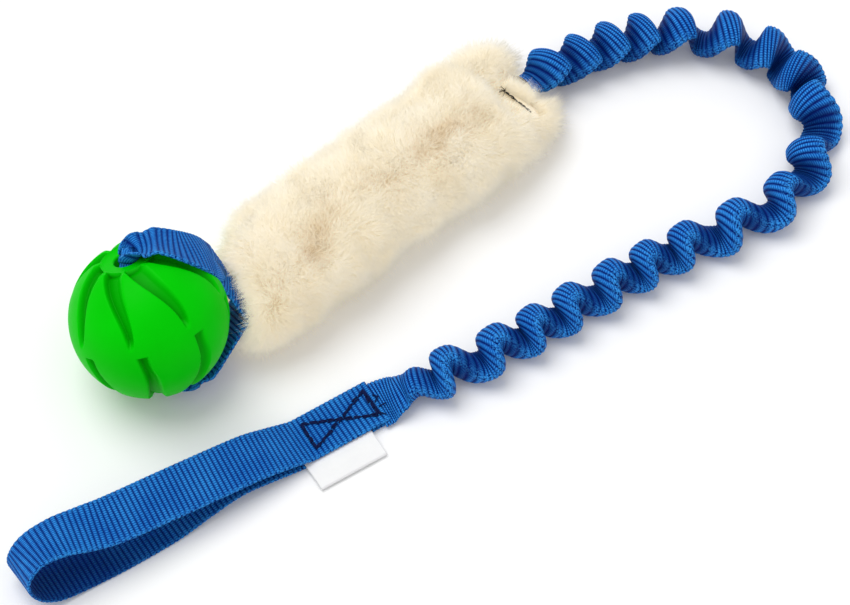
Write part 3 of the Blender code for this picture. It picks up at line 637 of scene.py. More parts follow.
def make_handle():
    spots = np.array(HANDLE_POINTS)
    line, run = route_through(spots[:, :3], WEB_STEP)
    knots = lengths_along(spots[:, :3])
    roll = np.radians(np.interp(run * knots[-1] / run[-1], knots, spots[:, 3]))
    x, height = line[:, 0], np.maximum(line[:, 2], LOWER_LAYER)
    # both layers lie flat under the box stitch
    low = (x > -20) & (run < run[-1] / 2)
    high = (x > -16) & (run > run[-1] / 2)
    line[:, 2] = np.where(low, LOWER_LAYER, np.where(high, UPPER_LAYER, height))
    line[:, 1] += 0.3 * wander(run, 21, 60) * rising(-x, 20, 80)
    roll = eased(roll, 12, run)
    across = np.stack([np.zeros_like(roll), -np.cos(roll), np.sin(roll)], axis=1)
    outward = np.cross(across, headings(line))
    far_end = run[np.argmin(x)]
    # painted shade on the loop's inner faces, strongest a little before its far end
    inside = mound(run - far_end, -22, 26) + 0.35 * rising(-x, 25, 45)
    inside = 0.95 * np.minimum(inside, 1)
    made = make_webbing("hand_loop_webbing", line, run, outward, inside=inside)
    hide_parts("handle_webbing")
    return made


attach(make_handle(), "handle")


# Threads

STITCH_GAP = 0.04
STITCH_SINK = 0.35
THREAD_STEPS = 9


def thread_tube(points, radius, around=8):
    heading = headings(points)
    ref = np.where(np.abs(heading[:, 2:3]) > 0.9, [[1, 0, 0]], [[0, 0, 1]])
    side = unit(np.cross(heading, ref))
    lift = np.cross(heading, side)
    angle = turns(around)[None, :, None]
    size = np.broadcast_to(radius, len(points))[:, None, None]
    return points[:, None] + (side[:, None] * np.cos(angle) + lift[:, None] * np.sin(angle)) * size


def loose_yarn(start, away, length, bend, radius, steps=9, around=8, taper=0, least=0):
    t = np.linspace(0, 1, steps)[:, None]
    curve = lifted(start + away * t * length + bend * t**2, least)
    return thread_tube(curve, radius * (1 - taper * t[:, 0]), around)


def stitch_row(first, last, pitch, radius, rng, rise=0.5, spread=0.18):
    first, last = np.asarray(first, float), np.asarray(last, float)
    count = max(1, round(float(np.linalg.norm(last - first)) / pitch))
    t = np.linspace(0, 1, THREAD_STEPS)[:, None]
    size = radius * np.sin(pi * (t[:, 0] * 0.9 + 0.05)) ** 0.25
    rows = []
    for k in range(count):
        a, b = (
            mix(first, last, at / count) + rng.normal(0, spread, 3) * [1, 1, 0]
            for at in (k + STITCH_GAP, k + 1 - STITCH_GAP)
        )
        arc = mix(a, b, t) + UP * (rise * np.sin(pi * t) - STITCH_SINK)
        rows.append(thread_tube(arc, size))
    return rows


def threads_object(name, tubes, finish):
    faces, count = [], 0
    for rings in tubes:
        faces += [[v + count for v in face] for face in skin_faces(*rings.shape[:2])]
        count += rings.shape[0] * rings.shape[1]
    made = mesh_object(name, np.vstack([rings.reshape(-1, 3) for rings in tubes]), faces)
    dress(made, finish)
    return made


def make_box_threads():
    rng = np.random.default_rng(3)
    x, y, top = 14.3, 6.2, 4.45
    rows = []
    for shift in (-0.35, 0.35):
        for end in (-x, x):
            first, last = (end + shift, -y, top), (end + shift * 0.6, y, top)
            rows += stitch_row(first, last, 3.1, 0.42, rng)
        for side in (-y, y):
            first, last = (-x, side + shift, top), (x, -side + shift, top)
            rows += stitch_row(first, last, 3.6, 0.36, rng)
    rows += stitch_row((x + 0.6, -y - 0.4, top), (x + 0.2, y + 0.6, top), 2.6, 0.45, rng)
    bend = np.array([0, 0, -0.9])
    for k in range(4):
        ahead, aside = rng.normal(0, 0.5), rng.normal(0, 0.6)
        start = np.array([x + 1 + ahead, -y + 3 * k + aside, top])
        away = unit([0.7, rng.normal(0, 0.8), 0.3])
        rows.append(loose_yarn(start, away, 2.4 + rng.random(), bend, 0.26))
    made = threads_object("box_threads", rows, NAVY_THREAD)
    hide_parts("box_stitch")
    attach(made, "handle")


def make_frayed_corner():
    rng = np.random.default_rng(11)
    rows = []
    for _ in range(26):
        start = np.array([16.8, -9.6 + 5 * rng.random() ** 1.6, 0.9 + 0.5 * rng.random()])
        away = unit([0.9, -0.35 + rng.normal(0, 0.35), 0.1 + 0.25 * rng.random()])
        bend = rng.normal(0, 0.5, 3)
        length = 1.4 + 1.6 * rng.random()
        rows.append(loose_yarn(start, away, length, bend, 0.13, 7, 6, taper=0.6, least=0.3))
    made = threads_object("frayed_yarns", rows, NAVY_THREAD)
    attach(made, "handle")


make_box_threads()
make_frayed_corner()


# Label: a folded tape, its two ends between the layers of the webbing

LABEL_FROM, LABEL_TO = -21.5, 8.5
LABEL_HALF_THICK = 0.17
LABEL_ROOT, LABEL_FOLD = -6.6, -20.9
FOLD_RADIUS = 0.62
FOLD_HEIGHT = 1.46


def label_outline():
    """The tape's section as (y, height) pairs: out along the upper leaf, back along the lower."""
    deep = np.linspace(LABEL_ROOT, LABEL_FOLD, 30)
    middle = [(y, FOLD_HEIGHT + FOLD_RADIUS) for y in deep]
    for a in np.radians(np.linspace(80, -80, 9)):
        y = LABEL_FOLD - FOLD_RADIUS * cos(a)
        middle.append((y, FOLD_HEIGHT + FOLD_RADIUS * sin(a)))
    middle += [
        (y, FOLD_HEIGHT - FOLD_RADIUS + 0.30 * float(rising(y, -13, -7))) for y in deep[::-1]
    ]
    middle = np.array(middle)
    way = unit(np.gradient(middle, axis=0))
    half = np.stack([-way[:, 1], way[:, 0]], axis=1) * LABEL_HALF_THICK
    return np.vstack([middle + half, (middle - half)[::-1]])


def make_label():
    x = np.linspace(LABEL_FROM, LABEL_TO, 61)
    y, height = label_outline().T
    swell = mound(y, -15, 4.2) * np.where(height > FOLD_HEIGHT, 0.55, 0)
    ends = np.sin(pi * ((x - LABEL_FROM) / (LABEL_TO - LABEL_FROM))) ** 0.5
    rings = np.zeros((len(x), len(y), 3))
    rings[..., 0] = x[:, None] + 0.018 * (y - LABEL_ROOT) * wander(x, 4, 9)[:, None]
    rings[..., 1] = y
    rings[..., 2] = height + swell * (0.55 + 0.45 * ends)[:, None]
    rings[..., 2] += 0.12 * wander(x, 14, 7)[:, None] * rising(-y, 10, 18)
    made = skin_object("folded_label", rings)
    f = Finish("label_tape", (0.86, 0.86, 0.87), 0.42, {"Specular IOR Level": 0.4})
    bands = {"Vector": f.place(), "Scale": 900}
    weave = f.node("ShaderNodeTexWave", {"bands_direction": "X"}, bands, "Fac")
    f.set("Normal", f.bump(weave * 0.6 + f.clouds(500, 2), 0.00008))
    f.set("Base Color", f.blend(f.clouds(70, 3), (0.82, 0.82, 0.84), (0.90, 0.90, 0.90)))
    dress(made, f)
    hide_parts("label")
    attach(made, "handle")


make_label()


# Ball

BALL_RADIUS = 31.5
BALL_TILT = radians(32)
BALL_CENTRE = np.array([-47.7, 63.8, 33.8])
BALL_AXIS = np.array([0, sin(BALL_TILT), cos(BALL_TILT)])
PETALS = 8
COLUMNS_A_PETAL = 60
GROOVE_DEPTH = 3.2
GROOVE_LONGITUDE = radians(9.6)
LOWER_SHIFT = radians(3.8)
LOWER_UNTIL = radians(6)
SWIRL_START, SWIRL_SPAN, SWIRL = radians(12), radians(52), radians(28)
TAPER_START, TAPER_SPAN = radians(9), radians(50)
UPPER_END, UPPER_RISE = radians(8.5), radians(9)
LOWER_END, LOWER_RISE = radians(3), radians(1.2)
RECESS_RADIUS = 11
RECESS_FLOOR = 28
RECESS_STEPS = [(10.5, 28.7), (9.7, 28.15), (9.1, RECESS_FLOOR)]
BORE_RADIUS = 5.1
MOUTH_ROUND = 0.8
RIM_ROUND = 0.9
RIM_REACH = 0.10


def ball_relief(latitude, turn):
    """Depth of the grooves: wide and open by the poles, running out to a point."""
    away = np.maximum(0, np.abs(latitude) - SWIRL_START)
    low_half = latitude < LOWER_UNTIL
    start = GROOVE_LONGITUDE - SWIRL * (away / SWIRL_SPAN) ** 2 + LOWER_SHIFT * low_half
    off = np.remainder(turn - start + 0.16, 2 * pi / PETALS) - 0.16
    arc = off * BALL_RADIUS * np.cos(latitude)
    share = np.clip((np.abs(latitude) - TAPER_START) / TAPER_SPAN, 0, 1)
    width = np.where(low_half, mix(3.6, 6.4, share), mix(1.3, 6.8, share**0.75))
    wall = np.where(low_half, 2.4, 0.5 * width)
    depth = smooth((arc + 0.3) / 0.7) * (1 - smooth((arc - width + wall * 0.5) / wall))
    floor = 1 - 0.45 * np.clip(arc / width, 0, 1)
    upper = smooth((latitude - UPPER_END) / UPPER_RISE)
    lower = smooth((LOWER_END - latitude) / LOWER_RISE)
    return GROOVE_DEPTH * depth * floor * np.where(low_half, lower, upper)


def make_ball():
    turn = turns(PETALS * COLUMNS_A_PETAL)

    def ring(out, height):
        return np.stack([out * np.cos(turn), out * np.sin(turn), height * np.ones_like(turn)], -1)

    rim = acos(RECESS_RADIUS / BALL_RADIUS)
    spans = ((rim, 0.28, 60), (0.27, -0.02, 46), (-0.03, -rim, 66))
    latitude = np.concatenate([np.linspace(*span) for span in spans])[:, None]
    relief = ball_relief(latitude, turn)
    radius = BALL_RADIUS - relief
    radius = radius - RIM_ROUND * smooth((np.abs(latitude) - rim + RIM_REACH) / RIM_REACH) ** 2
    outer = ring(radius * np.cos(latitude), radius * np.sin(latitude))
    down = list(RECESS_STEPS)
    for a in np.linspace(0, pi / 2, 6):
        height = RECESS_FLOOR - MOUTH_ROUND * (1 - cos(a))
        down.append((BORE_RADIUS + MOUTH_ROUND * (1 - sin(a)), height))
    top = [ring(r, h) for r, h in down[::-1]]
    bottom = [ring(r, -h) for r, h in down]
    c, s = cos(BALL_TILT), sin(BALL_TILT)
    tilt = np.array([[1, 0, 0], [0, c, s], [0, -s, c]])
    rings = np.array([*top, *outer, *bottom]) @ tilt.T + BALL_CENTRE
    plain = np.zeros((len(down), len(turn)))
    # how deep each point lies in a groove, for the painted shade
    groove_shade = np.concatenate([plain, relief / GROOVE_DEPTH, plain])
    ball = skin_object("spiral_ball", rings, {"groove_shade": groove_shade}, closed=True)
    f = Finish("green_rubber", (0, 0.56, 0), 0.42, {"Specular IOR Level": 0.04})
    rubber = f.blend(f.clouds(60, 3), (0, 0.51, 0), (0, 0.61, 0.001))
    # painted shade: the grooves turn a darker green by their depth
    f.set("Base Color", f.blend((f.attribute("groove_shade") * 0.85).held(), rubber, (0, 0.27, 0)))
    f.set("Roughness", 0.36 + f.clouds(420, 3) * 0.16)
    f.set("Normal", f.bump(f.clouds(900, 3), 0.00005))
    dress(ball, f)
    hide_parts("ball")
    return ball


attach(make_ball(), "ball")


# Strap through the ball

LOOP_HEADING = unit([0.938, -0.194, -0.286])
LOOP_REACH = 38
LOOP_PIVOT = BALL_CENTRE + LOOP_HEADING * LOOP_REACH
LOOP_ASIDE = unit(LOOP_HEADING - BALL_AXIS * (LOOP_HEADING @ BALL_AXIS))
LOOP_ACROSS = np.cross(BALL_AXIS, LOOP_ASIDE)
STRAP_GAP = 0.8
TO_STRAP = BALL_RADIUS + STRAP_GAP + WEB_THICK / 2
BORE_CURL = radians(285)
CURL_RADIUS = WEB_WIDTH / BORE_CURL
MOUTH_BEND = 4.1
MOUTH_STEPS = 6
NOSE_RADIUS = 2.2
NOSE_STEPS = 6
LEG_START = radians(22)
UPPER_TURN = radians(-19)
HUG = radians(-22)
FACE_UP = radians(21)
FACE_UP_SPAN = radians(60)
UPPER_LIFT = 0.5


def loop_direction(turn):
    return LOOP_ASIDE * cos(turn) + LOOP_ACROSS * sin(turn)


def turned(outward, angle):
    return unit(outward * cos(angle) - LOOP_ACROSS * sin(angle))


def mouth_stations(side, turn):
    """The strap's quarter turn out of the bore, where its curl opens."""
    aside = loop_direction(turn)
    along = BALL_AXIS * side
    height = RECESS_FLOOR + STRAP_GAP + WEB_THICK / 2 - MOUTH_BEND
    centre = BALL_CENTRE + aside * (CURL_RADIUS + MOUTH_BEND) + along * height
    found = []
    for step in range(MOUTH_STEPS + 1):
        angle = radians(90 / MOUTH_STEPS * step)
        outward = unit(along * sin(angle) - aside * cos(angle))
        curl = mix(BORE_CURL, BORE_CURL * 0.15, smooth(step / MOUTH_STEPS))
        found.append((centre + outward * MOUTH_BEND, outward, curl))
    return found


def leg_stations(side, turn, last, steps):
    """The strap round the ball, from a pole to where it leaves for the sleeve."""
    hug = HUG if side > 0 else 0
    found = []
    for step in range(steps + 1):
        angle = mix(LEG_START, last, step / steps)
        settle = smooth((angle - radians(35)) / radians(45))
        aside = loop_direction(turn * (1 - settle))
        outward = BALL_AXIS * side * cos(angle) + aside * sin(angle)
        flatten = smooth((angle - radians(15)) / radians(45))
        curl = mix(BORE_CURL * 0.12, hug, flatten)
        point = BALL_CENTRE + outward * TO_STRAP
        if side > 0:
            # near the neck the upper leg lifts off the ball and turns its face up
            away = rising(angle - last, -FACE_UP_SPAN, 0)
            outward = turned(outward, FACE_UP * away)
            point = point + outward * UPPER_LIFT * away
        found.append((point, outward, curl))
    return found


def nose_stations(lift_off, upper_end):
    """The strap's turn in the sleeve's mouth, from the upper leg to the lower."""
    hinge = unit(np.cross(LOOP_HEADING, LOOP_ACROSS))
    first = LOOP_HEADING * cos(lift_off) - hinge * sin(lift_off)
    upper_first = first @ BALL_AXIS > 0
    found = []
    for step in range(NOSE_STEPS + 1):
        angle = mix(lift_off, -lift_off, step / NOSE_STEPS)
        outward = LOOP_HEADING * cos(angle) - hinge * sin(angle)
        from_upper = step if upper_first else NOSE_STEPS - step
        face = turned(outward, FACE_UP * (1 - smooth(from_upper / 3)))
        curl = HUG * max(0, 3 - from_upper) / 3
        found.append((LOOP_PIVOT + outward * NOSE_RADIUS, face, curl))
    if np.linalg.norm(found[0][0] - upper_end) > np.linalg.norm(found[-1][0] - upper_end):
        found.reverse()
    return found


def loop_stations():
    """(point, outward, curl) from the bore's middle up, round the ball and back from below."""
    lift_off = pi / 2 - asin((TO_STRAP - NOSE_RADIUS) / LOOP_REACH)
    to_heading = acos(BALL_AXIS @ LOOP_HEADING)
    upper = leg_stations(1, UPPER_TURN, to_heading - lift_off, 12)
    lower = leg_stations(-1, 0, pi - to_heading - lift_off, 4)
    nose = nose_stations(lift_off, upper[-1][0])
    top, bottom = mouth_stations(1, UPPER_TURN), mouth_stations(-1, 0)
    low, high = ((end[0][0] - BALL_CENTRE) @ BALL_AXIS for end in (bottom, top))

    def in_bore(share):
        outward = -loop_direction(mix(0, UPPER_TURN, share))
        point = BALL_CENTRE - outward * CURL_RADIUS + BALL_AXIS * mix(low, high, share)
        return point, outward, BORE_CURL

    out = [in_bore(0.5), in_bore(0.75), *top, *upper]
    return [*out, *nose, *lower[::-1], *bottom[::-1], in_bore(0.25), in_bore(0.49)]


def make_ball_strap():
    points, outward, curl = (np.array(column) for column in zip(*loop_stations()))
    knots = lengths_along(points)
    line, run = route_through(points, WEB_STEP)
    at = run * knots[-1] / run[-1]
    outward = unit(eased(unit(sampled(at, knots, outward)), 4, run))
    curl = eased(np.interp(at, knots, curl), 3, run)
    made = make_webbing("ball_strap_webbing", line, run, outward, curl=curl)
    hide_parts("ball_loop")
    return made


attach(make_ball_strap(), "ball_strap")


# Sheepskin sleeve

SLEEVE_NECK = np.array([142, 88.5, 14])
SLEEVE_HEADING = unit(SLEEVE_NECK - LOOP_PIVOT)
SLEEVE_MOUTH = LOOP_PIVOT + SLEEVE_HEADING * 4.4
SLEEVE_LENGTH = float(np.linalg.norm(SLEEVE_NECK - SLEEVE_MOUTH))
SLEEVE_ASIDE = unit(np.cross(UP, SLEEVE_HEADING))
SLEEVE_HEIGHT = 19.5
SLEEVE_BOW = 3
MOUTH_LEAN = 30
MOUTH_LENGTH = 14

# half widths and half heights: at the blunt end, in the middle, and of the bare hide by the neck
END_HALF = (10.5, 7)
FULL_HALF = (21.6, 17.2)
BARE_HALF = (11, 5.6)
HOLLOW_RADIUS = 10.7
NECK_HOLLOW_RADIUS = 5.4

PARTING_TOP = radians(72)
PARTING_DEPTH = 2.4
PARTING_REACH = radians(17)
BARE_TOP = radians(82)
BARE_REACH = radians(54)
UNDERCOAT_LEAST = 0.3


def parting_angle(run, angle):
    line = PARTING_TOP + 0.20 * wander(run, 31, 26) + 0.12 * wander(run, 32, 8)
    return wrapped(angle - line)


def thin_spots(run):
    first = mound(run, 0.18 * SLEEVE_LENGTH, 10)
    second = mound(run, 0.66 * SLEEVE_LENGTH, 15)
    return 0.18 + 0.8 * first + 0.75 * second


def blunt(share):
    return np.sqrt(1 - (1 - np.clip(share, 0, 1)) ** 2)


def off_axis(point, run):
    return point - SLEEVE_MOUTH - SLEEVE_HEADING * run[..., None]


def mouth_slide(off, run):
    """How far points slide back so that the mouth stands square to the ball's strap."""
    lean = 1 - smooth(run / MOUTH_LEAN)
    return lean * (off @ LOOP_HEADING) / (SLEEVE_HEADING @ LOOP_HEADING)


def hide_surface(run, angle):
    """The hide's points at runs from the mouth and angles round it, and how bare they are."""
    from_end = run - SLEEVE_LENGTH
    mouth = 0.62 + 0.38 * blunt(run / MOUTH_LENGTH)
    # the far side stays full almost to the neck
    far = smooth(0.9 - 1.3 * np.cos(angle)) * smooth(0.5 - np.cos(angle))
    end = blunt((SLEEVE_LENGTH - 1 - run) / mix(26, 17, far))
    along = rising(run, 12, 32) * falling(from_end, -30, -10)
    off_parting = mound(parting_angle(run, angle), 0, PARTING_REACH)
    parting = PARTING_DEPTH * along * thin_spots(run) * off_parting
    from_top = wrapped(angle - BARE_TOP)
    bare = rising(from_end, -31, -12) * np.exp(-(np.abs(from_top / BARE_REACH) ** 3))
    half_width, half_height = (
        mix(mix(blunted, full, end) * mouth, hide, bare) - parting
        for blunted, full, hide in zip(END_HALF, FULL_HALF, BARE_HALF)
    )
    bow = SLEEVE_BOW * (1 - smooth(run / SLEEVE_LENGTH))
    middle = SLEEVE_MOUTH + SLEEVE_HEADING * run[..., None] + SLEEVE_ASIDE * bow[..., None]
    point = middle - SLEEVE_ASIDE * (half_width * np.cos(angle))[..., None]
    centre = mix(SLEEVE_HEIGHT, SLEEVE_NECK[2], rising(from_end, -34, -8))
    point[..., 2] = centre + half_height * np.sin(angle)
    slide = mouth_slide(off_axis(point, run), run)
    # at the neck the top stops short, so that the lead's end shows
    short = 7.5 * mound(angle, radians(103), radians(42))
    short = short + 5 * mound(angle, radians(25), radians(45))
    short = rising(from_end, -14, 0) * short
    return point - SLEEVE_HEADING * (slide + short)[..., None], bare


def undercoat_points(run, angle):
    """The hide's points with the wool's lumps on them, their normals and how bare they are."""
    point, bare = hide_surface(run, angle)
    along = hide_surface(run + 0.4, angle)[0] - hide_surface(run - 0.4, angle)[0]
    around = hide_surface(run, angle + 0.02)[0] - hide_surface(run, angle - 0.02)[0]
    normal = unit(np.cross(around, along))
    outward = np.einsum("...k,...k->...", normal, off_axis(point, run))
    normal = np.where(outward[..., None] < 0, -normal, normal)
    height = 1.7 * lumps(point, 41, 14) + 1 * lumps(point, 42, 6.5)
    point = point + normal * (height * (1 - bare))[..., None]
    return lifted(point, UNDERCOAT_LEAST), normal, bare


def make_undercoat():
    spans = ((0, 14, 24), (14.8, SLEEVE_LENGTH - 0.5, 150))
    runs = np.concatenate([np.linspace(*span) for span in spans])
    angle = turns(120)
    run, turn = np.meshgrid(runs, angle, indexing="ij")
    outer, _, bare = undercoat_points(run, turn)
    rings, values = list(outer), list(bare)
    up = np.cross(SLEEVE_HEADING, SLEEVE_ASIDE)
    # the hollow that the strap's tails and the lead's end lie in, from the neck to the mouth
    for r in (runs[-1], runs[-1] - 12, 20, 0):
        size = NECK_HOLLOW_RADIUS if r > SLEEVE_LENGTH - 13.5 else HOLLOW_RADIUS
        middle = SLEEVE_MOUTH + SLEEVE_HEADING * r
        ring = middle - SLEEVE_ASIDE * size * np.cos(angle)[:, None]
        ring = ring + up * size * np.sin(angle)[:, None]
        rings.append(ring - SLEEVE_HEADING * mouth_slide(ring - middle, r)[:, None])
        values.append(np.ones(len(angle)))
    values = {"bare": np.array(values)}
    made = skin_object("wool_undercoat", np.array(rings), values, closed=True)
    f = Finish("wool_undercoat", (0.80, 0.68, 0.46), 0.95, {"Sheen Weight": 0.1})
    soft = f.clouds(120, 4)
    wool = f.blend(soft, (0.90, 0.78, 0.58), (0.96, 0.90, 0.78))
    hide = f.blend(soft, (0.80, 0.68, 0.46), (0.90, 0.82, 0.64))
    f.set("Base Color", f.blend(f.attribute("bare"), wool, hide))
    f.set("Normal", f.bump(f.clouds(700, 4), 0.0006))
    dress(made, f)
    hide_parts("sheepskin_sleeve")
    return made


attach(make_undercoat(), "sleeve")


# Bar tack's line across the hide, which the wool leaves clear

TACK_LOW, TACK_HIGH = (np.array(corner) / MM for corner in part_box("neck_tack"))
TACK_NEAR = np.array([TACK_HIGH[0] - 2.8, TACK_LOW[1] - 6.8, TACK_HIGH[2] - 2.5])
TACK_FAR = np.array([TACK_LOW[0] - 2.8, TACK_HIGH[1] - 8.2, TACK_HIGH[2] - 1.5])


def from_tack(p):
    way = TACK_FAR - TACK_NEAR
    share = np.clip((p - TACK_NEAR) @ way / (way @ way), 0, 1)
    return np.linalg.norm(p - TACK_NEAR - share[:, None] * way, axis=1)


# Wool

FIBRES = 142000
FIBRES_A_PIECE = 18000
LOOSE_FIBRES = 14000
FIBRE_LEAST = 0.25
FIBRE_SIDES = 3
BEND_TAPER = 0.8
# painted light: how brightly the wool glows with its own colour
PAINTED_WOOL_GLOW = 0.27

# root ring 0 to 2, bend ring 3 to 5, tip 6
FIBRE_FACES = [(0, 2, 1), (0, 1, 4, 3), (1, 2, 5, 4), (2, 0, 3, 5)]
FIBRE_FACES += [(3, 4, 6), (4, 5, 6), (5, 3, 6)]
FIBRE_POINTS = 7

# at the root, the bend and the tip: what is added to the shade, and the share of the tan
SHADE_STEPS = np.repeat([-0.10, 0, 0.10], (3, 3, 1))
TAN_SHARES = np.repeat([1.3, 0.8, 0.25], (3, 3, 1))


def wool_finish():
    f = Finish("wool", (0.94, 0.87, 0.72), 0.9, {"Specular IOR Level": 0.1})
    cream = f.blend(f.attribute("shade"), (0.82, 0.73, 0.54), (0.91, 0.865, 0.755))
    colour = f.blend(f.attribute("tan"), cream, (0.66, 0.52, 0.32))
    f.set("Base Color", colour)
    # painted light: the wool glows with its own colour, in place of the light that scatters
    # through and between the fibres
    f.set("Emission Color", colour)
    f.set("Emission Strength", PAINTED_WOOL_GLOW)
    return f


WOOL = wool_finish()


def fibre_points(base, root, first, last, length, tip_share):
    bend = root + first * (length * 0.5)[:, None]
    return lifted(np.array([base, bend, bend + last * (length * tip_share)[:, None]]), FIBRE_LEAST)


def fibre_sides(first, rng):
    across = unit(np.cross(first, rng.normal(0, 1, first.shape)))
    return across, unit(np.cross(first, across))


def sleeve_fibres(rng):
    """The pile: combed off the parting, thin at threadbare spots and short over the lead."""
    run = rng.random(FIBRES) * (SLEEVE_LENGTH + 1) - 1
    angle = rng.random(FIBRES) * 2 * pi
    root, normal, bare = undercoat_points(np.maximum(run, 0.2), angle)
    keep = rng.random(FIBRES) > bare * 0.93
    keep = keep & ((root[:, 2] > 1.2) | (rng.random(FIBRES) < 0.25))
    keep = keep & (from_tack(root) > 2.4 + 2.6 * rng.random(FIBRES))
    root, normal, run, angle, bare = (v[keep] for v in (root, normal, run, angle, bare))
    count = len(root)
    from_end = run - SLEEVE_LENGTH
    clump = np.stack([lumps(root, 51 + k, 8) for k in range(3)], axis=1)
    curl = np.stack([lumps(root, 81 + k, 2.6) for k in range(3)], axis=1)
    fine = rng.normal(0, 1, (count, 3))

    from_parting = parting_angle(run, angle)
    along = rising(run, 14, 32) * falling(from_end, -26, -12)
    near = mound(from_parting, 0, 0.42) * along * np.clip(thin_spots(run) + 0.2, 0, 1)
    around = unit(np.cross(SLEEVE_HEADING, normal))
    comb = SLEEVE_HEADING * 0.10 - around * 0.50 * (np.tanh(from_parting / 0.16) * near)[:, None]
    ends = rising(from_end, -12, 0) - 0.9 * smooth((8 - run) / 8)
    comb = comb + SLEEVE_HEADING * ends[:, None]
    first = unit(normal * 0.85 + comb * 0.6 + clump * 0.38 + fine * 0.18)
    last = unit(normal * 0.42 + comb + clump * 0.62 + curl * 0.30 + fine * 0.30)

    length = 6.6 + 2.8 * rng.random(count) + 1.8 * lumps(root, 61, 9)
    length = length + 3 * (rng.random(count) < 0.04)
    over_lead = rising(from_end, -14, -4) * mound(angle, radians(98), radians(40))
    corner = rising(from_end, -16, -4) * smooth(-0.2 - 1.2 * np.cos(angle))
    length = length * (1 - 0.65 * bare) * (1 - 0.30 * near) * (1 + 0.45 * corner)
    length = length * (1 - 0.85 * over_lead)
    thick = 0.070 + 0.040 * rng.random(count)
    points = fibre_points(root - normal * 0.5, root, first, last, length, 0.55)

    shade = 0.66 + 0.20 * lumps(root, 71, 14) + 0.10 * lumps(root, 72, 4.5)
    shade = shade + rng.normal(0, 0.03, count)
    tan = mound(from_parting, 0, 0.26) * thin_spots(run) * along
    tan = tan * (0.75 + 0.45 * lumps(root, 75, 5))
    tan = np.clip(tan * 1.15 + 0.14 * lumps(root, 76, 9), 0, 0.9)
    return points, *fibre_sides(first, rng), thick, shade, tan


def end_fibres(rng):
    """Wool that closes the mouth and hangs over the strap, and wisps over the first gather."""
    count = LOOSE_FIBRES // 2
    angle = rng.random(count) * 2 * pi
    root, normal, _ = undercoat_points(0.2 + 3 * rng.random(count), angle)
    fine = rng.normal(0, 1, (count, 3))
    inward = rng.random(count) < 0.6
    hanging = ~inward
    shut = unit(-normal * 0.95 - SLEEVE_HEADING * 0.22 + fine * 0.16)
    hang = unit(normal * 0.25 - SLEEVE_HEADING + fine * 0.28)
    first = np.where(inward[:, None], shut, hang)
    last = unit(first - hanging[:, None] * normal * 0.35 + rng.normal(0, 0.25, (count, 3)))
    shut_length = 6 + 6 * rng.random(count)
    length = np.where(inward, shut_length, 5 + 7.5 * rng.random(count) ** 1.4)
    length = length + 6 * mound(angle, radians(150), radians(60)) * hanging

    wisps = LOOSE_FIBRES // 12
    turn = radians(38) + rng.random(wisps) * radians(62)
    start, out, _ = undercoat_points(SLEEVE_LENGTH - 4 + 3 * rng.random(wisps), turn)
    loose = rng.normal(0, 1, (wisps, 3))
    forward = unit(NECK_HEADING + out * 0.75 + UP * 0.35 + loose * 0.45)
    root = np.concatenate([root, start])
    first = np.concatenate([first, forward])
    last = np.concatenate([last, unit(forward + rng.normal(0, 0.5, (wisps, 3)))])
    length = np.concatenate([length, 3.5 + 7 * rng.random(wisps)])
    points = fibre_points(root, root, first, last, length, 0.5)
    across, other = fibre_sides(first, rng)
    count = len(root)
    thick = 0.055 + 0.035 * rng.random(count)
    thick[-wisps:] = 0.045
    return points, across, other, thick, 0.62 + 0.2 * rng.random(count), np.zeros(count)


def fibre_piece(name, points, across, other, thick, shade, tan):
    corners = []
    for level, taper in ((0, 1), (1, BEND_TAPER)):
        for a in turns(FIBRE_SIDES):
            way = across * cos(a) + other * sin(a)
            corners.append(points[level] + way * (thick * taper)[:, None])
    corners.append(points[2])
    starts = (np.arange(len(thick)) * FIBRE_POINTS).tolist()
    faces = [tuple(v + start for v in face) for start in starts for face in FIBRE_FACES]
    values = {
        "shade": np.clip(shade[:, None] + SHADE_STEPS, 0, 1),
        "tan": tan[:, None] * TAN_SHARES,
    }
    piece = mesh_object(name, np.stack(corners, axis=1), faces, values)
    dress(piece, WOOL)
    return piece


def grow_wool():
    rng = np.random.default_rng(7)
    both = zip(sleeve_fibres(rng), end_fibres(rng))
    points, *rest = (np.concatenate(pair, axis=int(pair[0].ndim == 3)) for pair in both)
    for number, low in enumerate(range(0, len(rest[0]), FIBRES_A_PIECE), 1):
        part = slice(low, low + FIBRES_A_PIECE)
        name = f"wool_strands_{number}"
        piece = fibre_piece(name, points[:, part], *(values[part] for values in rest))
        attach(piece, "sleeve")


grow_wool()


# Bar tack

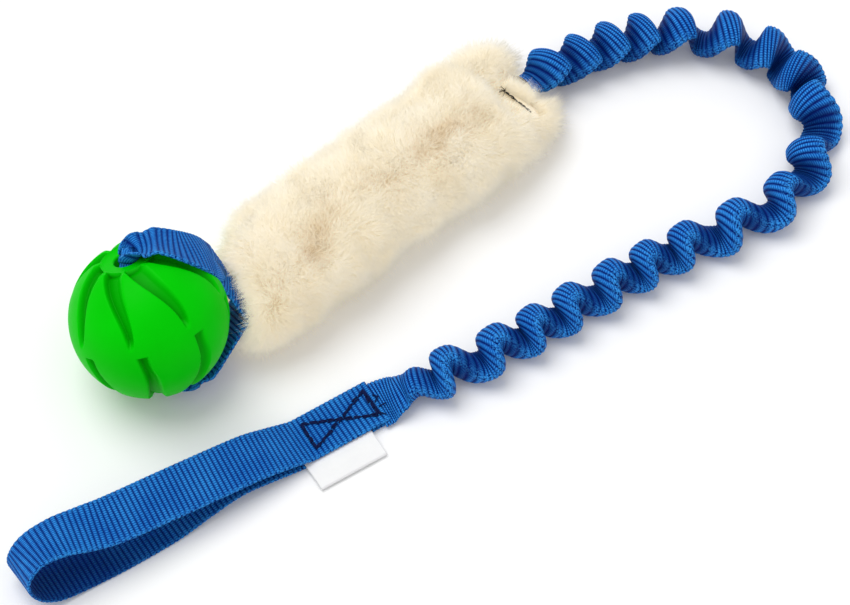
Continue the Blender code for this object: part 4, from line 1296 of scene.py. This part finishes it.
def make_neck_tack():
    rng = np.random.default_rng(5)
    rows = stitch_row(TACK_FAR, TACK_NEAR, 2.4, 0.34, rng, 0.35, 0.16)
    rows += stitch_row(TACK_FAR, TACK_NEAR, 3.4, 0.24, rng, 0.3, 0.3)
    least = TACK_FAR[2] - 0.3
    for _ in range(9):
        away = unit([-0.5 + rng.normal(0, 0.5), 0.3 + rng.normal(0, 0.7), 0.12])
        length = 1.5 + 2.6 * rng.random()
        bend = rng.normal(0, 0.8, 3)
        rows.append(loose_yarn(TACK_FAR, away, length, bend, 0.15, 8, 6, taper=0.4, least=least))
    made = threads_object("neck_tack_thread", rows, DARK_THREAD)
    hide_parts("neck_tack")
    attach(made, "sleeve")


make_neck_tack()


# The strap's tails in the sleeve stay CAD pieces, and get their finish

INNER = Finish("inner_webbing", TUBE_BLUES[1], 0.6)
INNER.set("Normal", INNER.bump(INNER.clouds(900, 2), 0.0003))
for name in ("core_strap_upper", "core_strap_lower"):
    dress(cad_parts[name], INNER)


# Floor and light

FLOOR_SIZE = 30
WORLD_STRENGTH = 0.72
KEY_STRENGTH = 1.50
KEY_SPREAD = radians(42)
KEY_TOWARDS = (-0.22, 0.42, 1.3)


def add_stage():
    bpy.ops.mesh.primitive_plane_add(size=FLOOR_SIZE)
    floor = bpy.context.object
    floor.name = "floor"
    dress(floor, Finish("white_floor", (0.95, 0.95, 0.95), 0.9, MATT))
    world = bpy.data.worlds.new("studio")
    world.use_nodes = True
    background = world.node_tree.nodes["Background"]
    background.inputs["Color"].default_value = (1, 1, 1, 1)
    background.inputs["Strength"].default_value = WORLD_STRENGTH
    bpy.context.scene.world = world
    data = bpy.data.lights.new("key", "SUN")
    data.energy = KEY_STRENGTH
    data.angle = KEY_SPREAD
    sun = bpy.data.objects.new("key", data)
    sun.rotation_mode = "QUATERNION"
    sun.rotation_quaternion = Vector(KEY_TOWARDS).to_track_quat("Z", "Y")
    bpy.context.scene.collection.objects.link(sun)


add_stage()
bpy.context.scene.view_settings.view_transform = "Standard"
